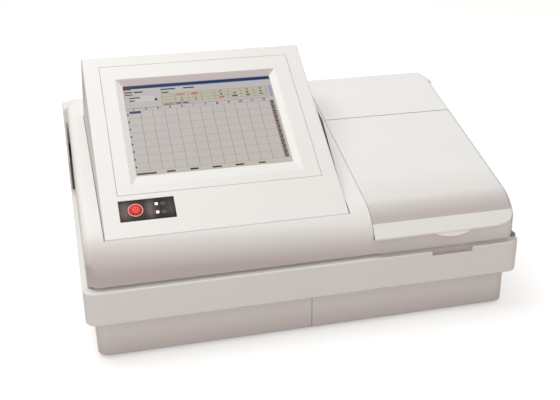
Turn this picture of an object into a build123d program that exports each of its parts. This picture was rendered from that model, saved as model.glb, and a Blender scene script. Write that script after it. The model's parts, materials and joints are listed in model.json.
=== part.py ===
"""Eight-channel microplate reader: a bench instrument that measures a 96-well plate.

Every sub-part is built in a bench frame: x across the width from the centre line, y as depth
behind the front of the middle band, z up from the surface that the feet stand on.  The last
step moves all of them back by half the depth, so the origin is under the middle of the body.
All sizes are in millimetres and all angles in degrees.
"""
from build123d import *
from math import cos, hypot, radians, sin, tan
import os

os.makedirs("parts", exist_ok=True)

# ---------------------------------------------------------------- body sizes
body_width = 475.0
body_depth = 300.0
wall = 3.0                      # moulded shells
foot_height = 3.0
foot_radius = 11.0
foot_setback = 42.0             # foot centres in from the body's outline
skirt_inset = 9.6               # skirt in from the band, all round
skirt_top = 44.7
skirt_corner = 12.0
skirt_seam = 0.4
band_top = 81.6
band_corner = 13.0
joint_gap = 0.4                 # visible gap round the lid and the display
flange_width = 18.0             # band's ledge flange
band_edge = 1.2                 # rounding of the band's upper and lower edges
skirt_edge = 1.5                # rounding of the skirt's lower edge

# ---------------------------------------------------------------- upper cover
cover_side_inset = 5.0
cover_front = 5.0               # cover's front face behind the band's
cover_apex = 124.0              # height where front face and slope would meet
cover_slope = 15.8
nose_radius = 45.0
corner_chamfer = 9.0
side_radius = 8.0               # cover's soft side edges, as deep as the skin they end
foot_reveal = 6.5               # shadow gap at the cover's front foot
foot_reveal_height = 3.5

# ---------------------------------------------------------------- rear housing
wing_depth = 34.0               # full-width frame at the back
wing_top_chamfer = (15.0, 11.5)
wing_corner = 5.0
wing_fall = 24.0                # angle that the top falls away behind its crest
crest_setback = 10.0            # crest behind the wings' front
grip_height = 96.0
grip_deep_height = 60.0         # height up to which the grip is at its full depth
grip_depth = 16.0
grip_lip = 2.2
panel_margin = 41.5             # back panel in from each side
panel_bottom = 50.0
panel_drop = 16.7               # back panel's top below the shoulders
panel_thickness = 2.0
panel_recess = 1.5

# ---------------------------------------------------------------- display module
display_margin = 26.2           # module's left side in from the body's
display_front = 24.5
display_front_height = 126.5
display_tilt = 31.6
display_setback = 27.2          # module's back in front of the wings
display_flare = 3.0             # sides lean out by this much at the back, down to the cover
display_wall = 2.5
display_sill = 7.5              # depth that the module's front sinks below its face
slot_width = 18.9               # dark slot beside the module, at its back end
slot_start = 52.0               # depth where the slot opens from the joint gap
well_wall = 2.5
well_flange = 8.0
bezel_margin = (18.6, 17.2)     # left and right of the inner frame
bezel_low = 53.0
bezel_top_margin = 15.6
bezel_gap = 0.3
bezel_front = 2.5
bezel_flange = 4.0
bezel_depth = 4.6
recess_margin = (15.9, 18.4)    # left and right of the recess in the inner frame
recess_low = 63.9
recess_top_margin = 20.8
screen_margin = (8.1, 7.9)      # left and right of the lit area in the recess
screen_low = 79.8
screen_top_margin = 7.6
glass_margin = 3.0
glass_thickness = 1.8
lcd_thickness = 8.0
board_thickness = 1.6

# ---------------------------------------------------------------- control panel
panel_inset = 18.3              # control panel's left side in from the module's
panel_width = 57.6
panel_low = 20.0
panel_length = 26.4
control_thickness = 2.0
boss_thickness = 3.5
button_inset = 16.7             # button's centre in from the control panel's left side
button_s = 33.1
button_radius = 6.4
button_proud = 1.6
button_travel = 1.2
button_fit = 0.35
ring_width = 1.2
led_inset = 38.7
led_s = (38.7, 28.3)
led_size = 3.2

# ---------------------------------------------------------------- lid
lid_width = 161.0
lid_side = 9.5                  # lid's right side in from the body's
lid_split = 187.9               # rear edge of the lid
lid_wall = 3.0
lid_sill = 101.4                # lowest point of the lip
lid_lip_front = 2.0
lid_lip_height = 103.4
lid_crease_height = 116.0
lip_run_out = 20.0              # length over which the lip's flare dies away at its right end
lid_rib_depth = 8.0
lid_rib_wall = 2.5
tab_offset = 88.5               # tab's centre from the lid's left side
tab_width = 47.0
tab_drop = 4.0
hinge_setback = 12.1            # hinge line behind the lid's rear edge
hinge_depth = 14.2              # hinge line below the cover's slope
hinge_pin_radius = 2.5
hinge_fit = 0.05
hinge_boss_radius = 6.0
arm_thickness = 3.0
arm_insets = (17.0, 20.0)       # arms in from the lid's left and right sides
rear_gap = 1.0                  # gap between lid and rear top cover

# ---------------------------------------------------------------- plate bay and carriage
deck_height = 58.0
deck_thickness = 3.0
rod_radius = 4.0
rod_height = 69.0
rod_front_y = 36.0
rod_rear_y = 148.0
rod_spare = 16.0                # rods' left end beyond the carriage's travel
rod_inset = 6.5                 # rods' right end in from the lid's right side
plate_length = 127.76           # standard microplate footprint
plate_width = 85.48
plate_fit = 0.5
carriage_inset = 7.0            # carriage's left side in from the lid's
carriage_width = 138.0
carriage_front = 26.0
carriage_depth = 132.0
carriage_base = 76.0
carriage_thickness = 8.0
nest_floor = 3.0
carriage_travel = 150.0

# ---------------------------------------------------------------- smaller sizes
foot_stem_radius = 4.0
foot_stem_fit = 0.1
notch_depth = 4.5               # finger notch in the ledge, under the lid's tab
notch_height = 4.5
ledge_rim = 1.6
ledge_recess = 0.9
ledge_recess_start = 6.5
band_slot_x = 77.0
band_slot_width = 3.0
band_slot_height = 1.6
band_slot_depth = 1.2
rear_cover_bevel = 2.0
throat_lip = 3.0
grip_width = 10.0
grip_mouth_height = 42.0
pad_thickness = 1.5
rail_inset = 1.0
rail_height = 5.0
face_edge = 1.0                 # bevel of the display face's edges
boss_margin = 2.4
button_edge = 1.2
light_fit = 0.1
ring_height = 0.7
collar_gap = 1.5
collar_thickness = 1.2
stem_radius = 2.5
stem_length = 1.5
board_setback = 3.0
switch_gap = 0.1
tact_height = 1.5
tact_size = 6.0
post_radius = 2.0
post_setback = 6.0
led_proud = 0.3
recess_corner = 1.2
screen_corner = 0.8
board_standoff = 5.0
board_inset = 51.3              # board's left side in from the display module's
board_width = 120.0
board_low = 90.0
board_length = 90.0
chip_height = 2.5
display_chip = 20.0
rib_setback = 9.0
tab_lean = 1.6
arm_root = (36.0, 20.0)         # ends of the arm's root on the lid, ahead of the pin
arm_inner_bend = ((17.5, 9.0), (6.0, 9.5))                  # ahead of and below the pin
arm_outer_bend = ((1.0, 17.0), (23.0, 15.0), (31.0, 4.0))
ear_gap = 0.3
ear_thickness = 2.5
ear_length = 24.0
ear_drop = 5.0
ear_rear_rise = 6.0
ear_root = 2.0
arm_clearance = 20.0            # height of the notches for the arms, below the pins
liner_gap = 1.2
liner_wall = 2.0
liner_clear = 1.5
liner_front = 15.5
liner_corner = 9.6              # liner's cut corner inside the cover's
liner_setback = 11.9            # liner's back ahead of the lid's rear edge
liner_door_gap = 3.0
door_top = 98.0
pillar_radius = 5.0
pillar_inset = 10.0             # pillars in from the deck's front
pillar_rear_inset = 8.0
pillar_side = 7.0               # middle pillars left of the lid
pillar_right_inset = 15.0
chassis_gap = 2.0
chassis_top = 9.0
deck_overhang = 8.0             # deck beyond the rods' left end
deck_inset = 1.0
deck_front = 14.0
deck_back = 184.0
support_length = 8.0
support_half = 7.0
rod_fit = 0.05
bush_radius = 6.0
guide_length = 16.0
guide_half = 8.0
guide_clear = 1.2
carriage_corner = 4.0
nest_ledge = 5.0
nest_y = 87.0
belt_thickness = 1.4
belt_play = 0.3                 # belt to the pulleys' flanges
belt_width = 6.0
belt_z = 69.0
belt_clear = 0.3
belt_seat = 0.05
clamp_length = 12.0
clamp_half = 3.0
pulley_flange = 1.0
motor_shaft_radius = 2.5
motor_size = 42.0
motor_length = 34.0
motor_corner = 4.0
motor_bore = 4.0
shaft_clear = 0.5

# ---------------------------------------------------------------- optics
channels = 8
columns = 12
well_pitch = 9.0
lens_bar_width = 24.0
lens_bar_top = 73.0
lens_depth = 4.0
lens_radius = 3.0
lens_thickness = 2.5
lens_slot = 8.0
head_bottom = 95.0
head_top = 109.0
bridge_width = 16.0
bridge_thickness = 4.0
bridge_front = 18.5
bridge_back = 181.0
optics_inset = 109.5            # optics plate in from the body's left side
optics_wall = 3.0
optics_foot = 14.0
optics_reach = 24.0             # plate ahead of the beam
optics_margin = 55.0            # plate behind the beam
optics_top = 84.0
beam_setback = 84.0
beam_z = 50.0
tube_radius = 12.0
tube_wall = 1.5
tube_length = 24.0
lamp_box = 50.0
lamp_top = 76.0
lamp_fins = 6
fin_wall = 1.5
fin_height = 8.0
bulb_radius = 7.0
glass_radius = 4.9
wheel_gap = 2.0
filter_pitch = 28.0             # filters' circle round the wheel's axis
wheel_thickness = 5.0
wheel_radius = 38.0
filter_count = 6
filter_radius = 6.5
filter_lip = 1.0
filter_motor_radius = 10.0
filter_motor_length = 22.0

# ---------------------------------------------------------------- electronics and back panel
main_offset = 137.0             # main board's left side from the lid's
main_width = 180.0
main_front = 34.0
main_back = 150.0
main_chip = 18.0
chip_places = ((21.6, 34.8), (57.6, 69.6), (93.6, 34.8), (129.6, 69.6))
supply_inset = 32.5
supply_width = 137.0
supply_setback = 28.0
supply_depth = 80.0
supply_top = 50.0
groove_count = 5
groove_width = 4.0
groove_inset = 10.0
groove_depth = 1.0
fan_inset = 87.5
fan_z = 128.0
fan_size = 60.0
fan_depth = 15.0
fan_bore = 27.5
fan_tip = 26.5
fan_hub = 11.0
fan_axle = 2.0
fan_blades = 7
fan_clear = 1.5
fan_hub_length = 10.0
fan_cap = 1.2
blade_pitch = 35.0
blade_thickness = 1.4
blade_chord = 8.25
fan_slots = 9
slot_edge = 3.0
slot_height = 3.0
socket_z = 76.0
inlet_inset = 72.5
inlet_width = 28.0
inlet_height = 20.0
inlet_depth = 18.0
inlet_rim = 2.0
pin_pitch = 7.0
pin_rise = 2.0
pin_thickness = 2.0
pin_height = 4.0
pin_depth = 3.0
socket_fit = 0.2
switch_offset = 37.0
switch_width = 14.0
switch_height = 22.0
switch_depth = 16.0
switch_rim = 1.5
switch_wall = 2.0
rocker_gap = 0.3
rocker_chamfer = 1.2
rocker_sink = 1.5
rocker_proud = 0.3
rocker_axis_depth = 6.0
rocker_axle = 1.5
port_offset = 76.0              # port block's centre from the mains inlet
port_count = 3
port_pitch = 17.0
port_width = 12.6               # mouth of one port
port_height = 6.6
port_block_width = 52.0
port_block_height = 16.0
port_depth = 14.0
port_floor = 2.0

# ---------------------------------------------------------------- worked-out places
half_width = body_width / 2
cover_half = half_width - cover_side_inset
skirt_half = half_width - skirt_inset
skirt_back = body_depth - skirt_inset
slope = tan(radians(cover_slope))
wing_front = body_depth - wing_depth
crest_y = wing_front + crest_setback
shoulder_height = cover_apex + (crest_y - cover_front) * slope
panel_half_width = half_width - panel_margin
panel_top = shoulder_height - panel_drop
lid_right = half_width - lid_side
lid_left = lid_right - lid_width
tab_centre = lid_left + tab_offset
hinge_y = lid_split + hinge_setback
hinge_z = cover_apex + (hinge_y - cover_front) * slope - hinge_depth
arm_positions = (lid_left + arm_insets[0], lid_right - arm_insets[1])
liner_back = lid_split - liner_setback
slot_x = lid_left - joint_gap - well_wall
face_cos = cos(radians(display_tilt))
face_sin = sin(radians(display_tilt))
display_left = display_margin - half_width
display_right = slot_x - slot_width
display_back = wing_front - display_setback
display_length = (display_back - display_front) / face_cos
display_seat = display_front_height - display_sill
bezel_left = display_left + bezel_margin[0]
bezel_width = display_right - bezel_margin[1] - bezel_left
bezel_length = display_length - bezel_top_margin - bezel_low
recess_left = bezel_left + recess_margin[0]
recess_width = bezel_width - sum(recess_margin)
recess_length = bezel_low + bezel_length - recess_top_margin - recess_low
screen_left = recess_left + screen_margin[0]
screen_width = recess_width - sum(screen_margin)
screen_length = recess_low + recess_length - screen_top_margin - screen_low
panel_left = display_left + panel_inset
button_x = panel_left + button_inset
led_x = panel_left + led_inset
board_left = display_left + board_inset
carriage_left = lid_left + carriage_inset
carriage_right = carriage_left + carriage_width
carriage_back = carriage_front + carriage_depth
nest_x = (carriage_left + carriage_right) / 2
lens_x = nest_x + (columns - 1) / 2 * well_pitch - carriage_travel
rod_left = carriage_left - carriage_travel - rod_spare
rod_right = lid_right - rod_inset
deck_left = rod_left - deck_overhang
deck_right = lid_right - deck_inset
deck_top = deck_height + deck_thickness
pulley_radius = 6.0
belt_y = carriage_back + pulley_radius + 1.5
belt_run_y = belt_y - pulley_radius - belt_thickness / 2
drive_x = rod_left + 6.0
idler_x = carriage_right + 1.0
guide_places = (
    (carriage_left + guide_length, rod_rear_y),
    (carriage_right - guide_length, rod_rear_y),
    (nest_x, rod_front_y),
)
optics_x = optics_inset - half_width
beam_y = body_depth - beam_setback
wheel_x = optics_x + optics_wall + wheel_gap
wheel_y = beam_y + filter_pitch
main_left = lid_left - main_offset
main_right = main_left + main_width
supply_right = half_width - supply_inset
supply_left = supply_right - supply_width
supply_back = body_depth - supply_setback
supply_front = supply_back - supply_depth
fan_x = fan_inset - half_width
inlet_x = half_width - inlet_inset
switch_x = inlet_x - switch_offset
port_centre = inlet_x - port_offset
port_x = [port_centre + (i - (port_count - 1) / 2) * port_pitch for i in range(port_count)]
face = Plane(
    origin=(0, display_front, display_front_height),
    x_dir=(1, 0, 0),
    z_dir=(0, -face_sin, face_cos),
)


# ---------------------------------------------------------------- helpers
def box(x0, x1, y0, y1, z0, z1):
    """Block between two corners."""
    centre = Pos((x0 + x1) / 2, (y0 + y1) / 2, (z0 + z1) / 2)
    return centre * Box(x1 - x0, y1 - y0, z1 - z0)


def on_face(x0, x1, s0, s1, t0, t1):
    """Block on the display's face: s runs up the slope, t stands out of it."""
    return face.location * box(x0, x1, s0, s1, t0, t1)


def rod_z(x, y, z0, z1, radius):
    """Upright cylinder."""
    return Pos(x, y, (z0 + z1) / 2) * Cylinder(radius, z1 - z0)


def rod_x(x0, x1, y, z, radius):
    """Cylinder lying across the width."""
    return Pos((x0 + x1) / 2, y, z) * Rot(0, 90, 0) * Cylinder(radius, x1 - x0)


def rod_y(x, y0, y1, z, radius):
    """Cylinder lying along the depth."""
    return Pos(x, (y0 + y1) / 2, z) * Rot(90, 0, 0) * Cylinder(radius, y1 - y0)


def across(points, x0, x1):
    """Side profile of (y, z) points, extruded across the width."""
    outline = make_face(Polyline(*points, close=True))
    return Pos(x0, 0, 0) * extrude(Plane.YZ * outline, amount=x1 - x0, dir=(1, 0, 0))


def socket_block(x, width, height, depth, grow, back):
    """Block centred on a socket in the back panel, grown all round, up to a depth."""
    return box(
        x - width / 2 - grow, x + width / 2 + grow, back - depth, back,
        socket_z - height / 2 - grow, socket_z + height / 2 + grow,
    )


def rounded_block(x0, x1, y0, y1, z0, z1, corner):
    """Block with rounded upright edges."""
    outline = Pos((x0 + x1) / 2, (y0 + y1) / 2) * RectangleRounded(x1 - x0, y1 - y0, corner)
    return Pos(0, 0, z0) * extrude(outline, amount=z1 - z0)


def slope_z(y, inset=0.0):
    """Height of the cover's sloped top at a depth, or of its inner skin."""
    return cover_apex + (y - cover_front) * slope - inset / cos(radians(cover_slope))


def cover_face(inset, low):
    """Side profile of the upper cover, drawn in by a wall thickness."""
    y0 = cover_front + inset
    y1 = wing_front + inset
    corners = [(y0, low), (y0, slope_z(y0, inset)), (y1, slope_z(y1, inset)), (y1, low)]
    outline = make_face(Polyline(*corners, close=True))
    apex = outline.vertices().sort_by_distance((y0, slope_z(y0, inset), 0))[0]
    return fillet(apex, nose_radius - inset)


def cover_block(inset, low, half):
    """The cover's outer form, or its hollow: cut front corners and soft side edges."""
    side = Plane.YZ * cover_face(inset, low)
    block = Pos(-half, 0, 0) * extrude(side, amount=2 * half, dir=(1, 0, 0))
    block = block - corner_cut(1, inset) - corner_cut(-1, inset)
    sides = [edge for edge in block.edges() if abs(abs(edge.center().X) - half) < joint_gap]
    soft = [edge for edge in sides if edge.center().Z > low + corner_chamfer]
    soft = [edge for edge in soft if edge.center().Y < wing_front]
    soft += block.edges().filter_by(GeomType.ELLIPSE)
    upright = block.edges().filter_by(Axis.Z)
    soft += [edge for edge in upright if edge not in soft and edge.center().Y < nose_radius]
    return fillet(soft, side_radius - inset)


def under_cover(inset):
    """Everything under the cover's outer form, drawn in by inset, across the whole width."""
    side = Plane.YZ * cover_face(inset, 0)
    return Pos(-half_width, 0, 0) * extrude(side, amount=body_width, dir=(1, 0, 0))


def skin_band(depth, x0, x1, y0, y1):
    """Space above a line that lies this deep under the cover's slope."""
    return across(
        [(y0, slope_z(y0, depth)), (y0, 2 * shoulder_height), (y1, 2 * shoulder_height),
         (y1, slope_z(y1, depth))],
        x0, x1,
    )


def corner_cut(side, inset):
    """Upright wedge that cuts a front corner off at 45 degrees, moved in by inset."""
    reach = body_depth / 2
    line = cover_half - cover_front - corner_chamfer - inset * hypot(1, 1)
    plan = [
        (side * (line - reach), -reach),
        (side * (line + reach), reach),
        (side * (line + reach), -reach),
    ]
    return extrude(make_face(Polyline(*plan, close=True)), amount=body_width, dir=(0, 0, 1))


def foot_centres():
    """Centres of the four feet."""
    xs = (-half_width + foot_setback, half_width - foot_setback)
    ys = (foot_setback, body_depth - foot_setback)
    return [(x, y) for x in xs for y in ys]


# ---------------------------------------------------------------- base and band
def rubber_feet():
    feet = []
    for x, y in foot_centres():
        pad = rod_z(x, y, 0, foot_height, foot_radius)
        stem = rod_z(x, y, foot_height, foot_height + wall, foot_stem_radius)
        feet.append(pad + stem)
    return Compound(children=feet)


def base_skirt(side):
    """One half of the base tub, with its floor; side is -1 for the left half."""
    outer = rounded_block(
        -skirt_half, skirt_half, skirt_inset, skirt_back, foot_height, skirt_top, skirt_corner
    )
    outer = fillet(outer.edges().group_by(Axis.Z)[0], skirt_edge)
    inner = rounded_block(
        -skirt_half + wall, skirt_half - wall, skirt_inset + wall, skirt_back - wall,
        foot_height + wall, skirt_top, skirt_corner - wall,
    )
    middle = side * skirt_seam / 2
    half = box(*sorted((middle, side * half_width)), 0, body_depth, 0, skirt_top)
    tub = (outer - inner) & half
    for x, y in foot_centres():
        tub -= rod_z(x, y, 0, foot_height + wall, foot_stem_radius + foot_stem_fit)
    return tub - rear_opening()


def rear_opening():
    """Space that the rear panel and its sockets take out of the back of the shells."""
    return box(
        -panel_half_width, panel_half_width,
        wing_front + wall, body_depth + 1, panel_bottom, panel_top,
    )


def middle_band():
    """Wide band between the base skirt and the cover: a C-section ring."""
    ring = rounded_block(
        -half_width, half_width, 0, body_depth, skirt_top, band_top, band_corner
    )
    rims = ring.edges().group_by(Axis.Z)
    ring = fillet(rims[0] + rims[-1], band_edge)
    web = rounded_block(
        -half_width + wall, half_width - wall, wall, body_depth - wall,
        skirt_top + wall, band_top - wall, band_corner - wall,
    )
    throat = rounded_block(
        -half_width + flange_width, half_width - flange_width,
        flange_width, body_depth - flange_width, skirt_top, band_top, wall,
    )
    ring = ring - web - throat + notch_backing() - finger_notch()
    ring -= box(
        lid_left + ledge_recess_start, cover_half, ledge_rim, cover_front + foot_reveal,
        band_top - ledge_recess, band_top,
    )
    for x in (-band_slot_x, band_slot_x):
        ring -= box(
            x - band_slot_width / 2, x + band_slot_width / 2, -1, band_slot_depth,
            skirt_top, skirt_top + band_slot_height,
        )
    return ring - rear_opening()


def finger_notch():
    """Notch in the band's ledge, under the lid's tab."""
    x0 = tab_centre - tab_width / 2
    notch = box(x0, x0 + tab_width, -1, notch_depth, band_top - notch_height, band_top + 1)
    ends = notch.edges().filter_by(Axis.Z).group_by(Axis.Y)[-1]
    return fillet(ends, notch_depth * 0.9)


def notch_backing():
    """Thicker wall behind the finger notch."""
    reach = tab_width / 2 + wall
    low = band_top - notch_height - wall
    return box(
        tab_centre - reach, tab_centre + reach, wall, notch_depth + wall, low, band_top - wall
    )


def upper_cover():
    """Main moulded cover: bullnose front, sloped top, display well and plate bay opening."""
    form = cover_block(0, band_top, cover_half)
    shell = form - cover_block(wall, band_top, cover_half - wall)
    reveal_top = band_top + foot_reveal_height
    foot_back = cover_front + foot_reveal + wall
    shell -= box(-half_width, half_width, 0, foot_back, band_top, reveal_top)
    shell += form & box(
        -half_width, half_width, 0, foot_back, reveal_top, reveal_top + wall
    )
    shell += cover_block(foot_reveal, band_top, cover_half) & box(
        -half_width, half_width, 0, foot_back, band_top, reveal_top
    )
    shell += prism(well_plan(well_wall), display_seat - wall, shoulder_height) & form
    shell -= lid_opening() + rear_top_seat()
    return shell - display_hole()


def prism(outline, low, high):
    """Upright block on a plan outline."""
    plan = make_face(Polyline(*outline, close=True))
    return Pos(0, 0, low) * extrude(plan, amount=high - low, dir=(0, 0, 1))


def display_plan(grow):
    """Plan of the display module below the cover's top, a little wider at the back."""
    front = display_front - grow
    back = display_back + grow
    return [
        (display_left - grow, front), (display_right + grow, front),
        (display_right + display_flare + grow, back), (display_left - display_flare - grow, back),
    ]


def well_plan(grow):
    """Plan of the display well, with the slot that opens beside the module towards the back."""
    left_front, right_front, right_back, left_back = display_plan(joint_gap + grow)
    share = (slot_start - display_front) / (display_back - display_front)
    opening = (right_front[0] + display_flare * share, slot_start)
    side = slot_x + grow
    return [left_front, right_front, opening, (side, lid_split), (side, right_back[1]), left_back]


def display_hole():
    """What the display well leaves open: the module's bore and a throat through its seat."""
    bore = prism(well_plan(0), display_seat, 2 * shoulder_height)
    throat = prism(display_plan(-well_flange), band_top, display_seat)
    return bore + throat


def lid_opening():
    """Opening for the lid: through the front above the sill and back to the split."""
    gap = joint_gap
    return box(
        lid_left - gap, lid_right + gap, -1, lid_split + rear_gap, lid_sill - gap,
        2 * shoulder_height,
    )


def rear_top_seat():
    """Skin taken off behind the lid, where the rear top cover lies instead."""
    return skin_band(
        side_radius, lid_left - joint_gap, half_width, lid_split + rear_gap - joint_gap, body_depth
    )


def rear_top_cover():
    """Removable plate over the hinge and the electronics, behind the lid."""
    plate = cover_block(0, band_top, cover_half) - cover_block(wall, band_top, cover_half - wall)
    plate &= skin_band(side_radius, lid_left, half_width, lid_split + rear_gap, wing_front)
    side = plate.edges().filter_by(Axis.X, reverse=True).group_by(Axis.X)[0]
    return chamfer(side.sort_by(Axis.Z)[-1], rear_cover_bevel)


def rear_housing():
    """Full-width frame at the back, with a hand grip sunk into each side wing."""
    run, drop = wing_top_chamfer
    high = 2 * wing_corner + shoulder_height
    plan = [
        (-half_width, band_top), (-half_width, shoulder_height - drop),
        (-half_width + run, shoulder_height), (half_width - run, shoulder_height),
        (half_width, shoulder_height - drop), (half_width, band_top),
    ]
    outline = make_face(Polyline(*plan, close=True))
    outline = fillet(outline.vertices().filter_by_position(Axis.Y, band_top + 1, high), wing_corner)
    outer = Pos(0, wing_front, 0) * extrude(Plane.XZ * outline, amount=wing_depth, dir=(0, 1, 0))
    outer -= wing_roof(0)
    hollow = Pos(0, wing_front + wall, 0) * extrude(
        Plane.XZ * offset(outline, amount=-wall), amount=wing_depth - 2 * wall, dir=(0, 1, 0)
    )
    hollow -= wing_roof(wall)
    hollow += box(
        -half_width + wall, half_width - wall, wing_front + wall, body_depth - wall,
        band_top, band_top + 2 * wall,
    )
    throat_half = cover_half - wall - throat_lip
    throat = box(
        -throat_half, throat_half, wing_front, wing_front + wall, band_top,
        slope_z(wing_front, side_radius) - throat_lip,
    )
    frame = outer - hollow - throat - rear_opening()
    for side in (-1, 1):
        frame = frame + grip_block(side, wall) - grip_block(side, 0) - grip_mouth(side)
    return frame


def wing_roof(inset):
    """Space above the wings: up the cover's slope to the crest, then falling away behind it."""
    back = body_depth + 1
    fall = (back - crest_y) * tan(radians(wing_fall))
    front = wing_front - 1
    crest = slope_z(crest_y, inset)
    return across(
        [(front, slope_z(front, inset)), (front, 2 * shoulder_height), (back, 2 * shoulder_height),
         (back, crest - fall), (crest_y, crest)],
        -half_width, half_width,
    )


def grip_block(side, grow):
    """A wing's hand grip, deep below and fading out above, or the wall round it when grown."""
    x0 = half_width - grip_width - grow
    x1 = half_width if grow else half_width - grip_lip
    front = wing_front if grow else wing_front - 1
    back = wing_front + grip_depth + grow
    block = across(
        [(front, band_top), (back, band_top), (back, band_top + grip_deep_height),
         (front, band_top + grip_height + grow)],
        x0, x1,
    )
    return block if side > 0 else mirror(block, about=Plane.YZ)


def grip_mouth(side):
    """Lower part of a grip pocket that is open through the wing's side."""
    block = box(
        half_width - grip_lip - 1, half_width + 1, wing_front - 1, wing_front + grip_depth,
        band_top, band_top + grip_mouth_height,
    )
    return block if side > 0 else mirror(block, about=Plane.YZ)


def grip_pads():
    """Dark lining of the deep part of the two hand grips."""
    pads = []
    top = band_top + grip_deep_height
    back = wing_front + grip_depth
    for side in (-1, 1):
        x0 = half_width - grip_width
        pad = box(x0, half_width - grip_lip, back - pad_thickness, back, band_top, top)
        pad += box(x0, x0 + pad_thickness, wing_front + pad_thickness, back, band_top, top)
        pads.append(pad if side > 0 else mirror(pad, about=Plane.YZ))
    return Compound(children=pads)


def side_rail():
    """Dark rail on the right-hand ledge, between the cover's foot and the band's edge."""
    y0 = band_corner
    y1 = wing_front
    rail = box(cover_half, half_width - rail_inset, y0, y1, band_top, band_top + rail_height)
    top = rail.edges().filter_by(Axis.Y).group_by(Axis.Z)[-1].sort_by(Axis.X)[-1]
    return chamfer(top, rail_inset * 2)


def rear_panel():
    """Sheet-metal back panel with the fan's slots and the socket cut-outs."""
    y1 = body_depth - panel_recess
    y0 = y1 - panel_thickness
    gap = joint_gap
    sheet = box(
        -panel_half_width + gap, panel_half_width - gap, y0, y1, panel_bottom + gap, panel_top - gap
    )
    pitch = fan_size / (fan_slots + 1)
    for i in range(fan_slots):
        z = fan_z - fan_size / 2 + pitch * (i + 1)
        reach = fan_size / 2 - slot_edge
        half_row = (reach**2 - (z - fan_z) ** 2) ** 0.5
        sheet -= box(
            fan_x - half_row, fan_x + half_row, y0, y1, z - slot_height / 2, z + slot_height / 2
        )
    sheet -= socket_block(inlet_x, inlet_width, inlet_height, panel_thickness, 0, y1)
    sheet -= socket_block(switch_x, switch_width, switch_height, panel_thickness, 0, y1)
    return sheet - socket_block(
        port_centre, port_block_width, port_block_height, panel_thickness, 0, y1
    )


# ---------------------------------------------------------------- display module
def display_height(y):
    """Height of the display's face at a depth."""
    return display_front_height + (y - display_front) * face_sin / face_cos


def display_profile(inset, low):
    """Side profile of the wedge-shaped display housing, drawn in by a wall."""
    y0 = display_front + inset
    y1 = display_back - inset
    lift = inset / face_cos
    return [
        (y0, low), (y0, display_height(y0) - lift), (y1, display_height(y1) - lift), (y1, low)
    ]


def display_sides(grow):
    """Prism between the module's leaning sides, which meet its flared plan at the cover."""
    height = display_height(display_back) - slope_z(display_back)
    lean = display_flare / (height * face_cos)
    deep = shoulder_height
    left = display_left - grow
    right = display_right + grow
    outline = make_face(Polyline(
        (left + lean * deep, -deep), (right - lean * deep, -deep),
        (right + lean * deep, deep), (left - lean * deep, deep), close=True,
    ))
    along = Plane(
        origin=(0, display_front, display_front_height), x_dir=(1, 0, 0),
        z_dir=(0, face_cos, face_sin),
    )
    return extrude(along * outline, amount=2 * body_depth, both=True)


def display_form(inset):
    """The display housing's outer form, or its hollow."""
    form = across(display_profile(inset, display_seat), -half_width, half_width)
    form &= prism(display_plan(-inset), display_seat, 2 * shoulder_height)
    return form & display_sides(-inset)


def display_housing():
    """Wedge-shaped housing, open below, with the inner frame's window and the control boss."""
    outer = display_form(0)
    top = outer.faces().filter_by(lambda f: abs(f.normal_at().dot(face.z_dir)) > 0.999)
    outer = chamfer(top.edges(), face_edge)
    shell = outer - display_form(display_wall)
    shell += control_boss() & outer
    shell -= on_face(
        bezel_left, bezel_left + bezel_width, bezel_low, bezel_low + bezel_length,
        -2 * display_wall, 1,
    )
    return shell - control_pocket()


def control_boss():
    """Thick part of the housing's face that carries the control panel."""
    return on_face(
        panel_left - boss_margin, panel_left + panel_width + boss_margin,
        panel_low - boss_margin, panel_low + panel_length + boss_margin,
        -display_wall - boss_thickness, 0,
    )


def control_pocket():
    """Pocket for the control panel, with the holes behind it."""
    pocket = on_face(
        panel_left, panel_left + panel_width, panel_low, panel_low + panel_length,
        -control_thickness, 1,
    )
    return pocket + control_holes(-3 * display_wall)


def control_holes(depth):
    """Holes for the power button and the two light pipes."""
    bore = face.location * Pos(button_x, button_s, depth / 2) * Cylinder(
        button_radius + button_fit, -depth + 2
    )
    half = led_size / 2 + light_fit
    for s in led_s:
        bore += on_face(led_x - half, led_x + half, s - half, s + half, depth, 1)
    return bore


def control_panel():
    plate = on_face(
        panel_left + bezel_gap, panel_left + panel_width - bezel_gap,
        panel_low + bezel_gap, panel_low + panel_length - bezel_gap,
        -control_thickness, 0,
    )
    return plate - control_holes(-control_thickness - 1)


def button_ring():
    """Pale rim round the power button."""
    inner = button_radius + button_fit
    ring = Cylinder(inner + ring_width, ring_height) - Cylinder(inner, ring_height)
    return face.location * Pos(button_x, button_s, ring_height / 2) * ring


def power_button():
    """Round push button with a stem and a retaining collar behind the boss."""
    back = -display_wall - boss_thickness
    place = face.location * Pos(button_x, button_s, 0)
    cap = Pos(0, 0, (button_proud + back) / 2) * Cylinder(button_radius, button_proud - back)
    rim = cap.edges().filter_by(GeomType.CIRCLE).sort_by(Axis.Z)[-1]
    cap = fillet(rim, button_edge)
    collar = Pos(0, 0, back - collar_gap - collar_thickness / 2) * Cylinder(
        button_radius + button_fit + ring_width, collar_thickness
    )
    neck = Pos(0, 0, back - collar_gap / 2) * Cylinder(stem_radius, collar_gap)
    stem = Pos(0, 0, back - collar_gap - collar_thickness - stem_length / 2) * Cylinder(
        stem_radius, stem_length
    )
    return place * (cap + neck + collar + stem)


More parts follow.
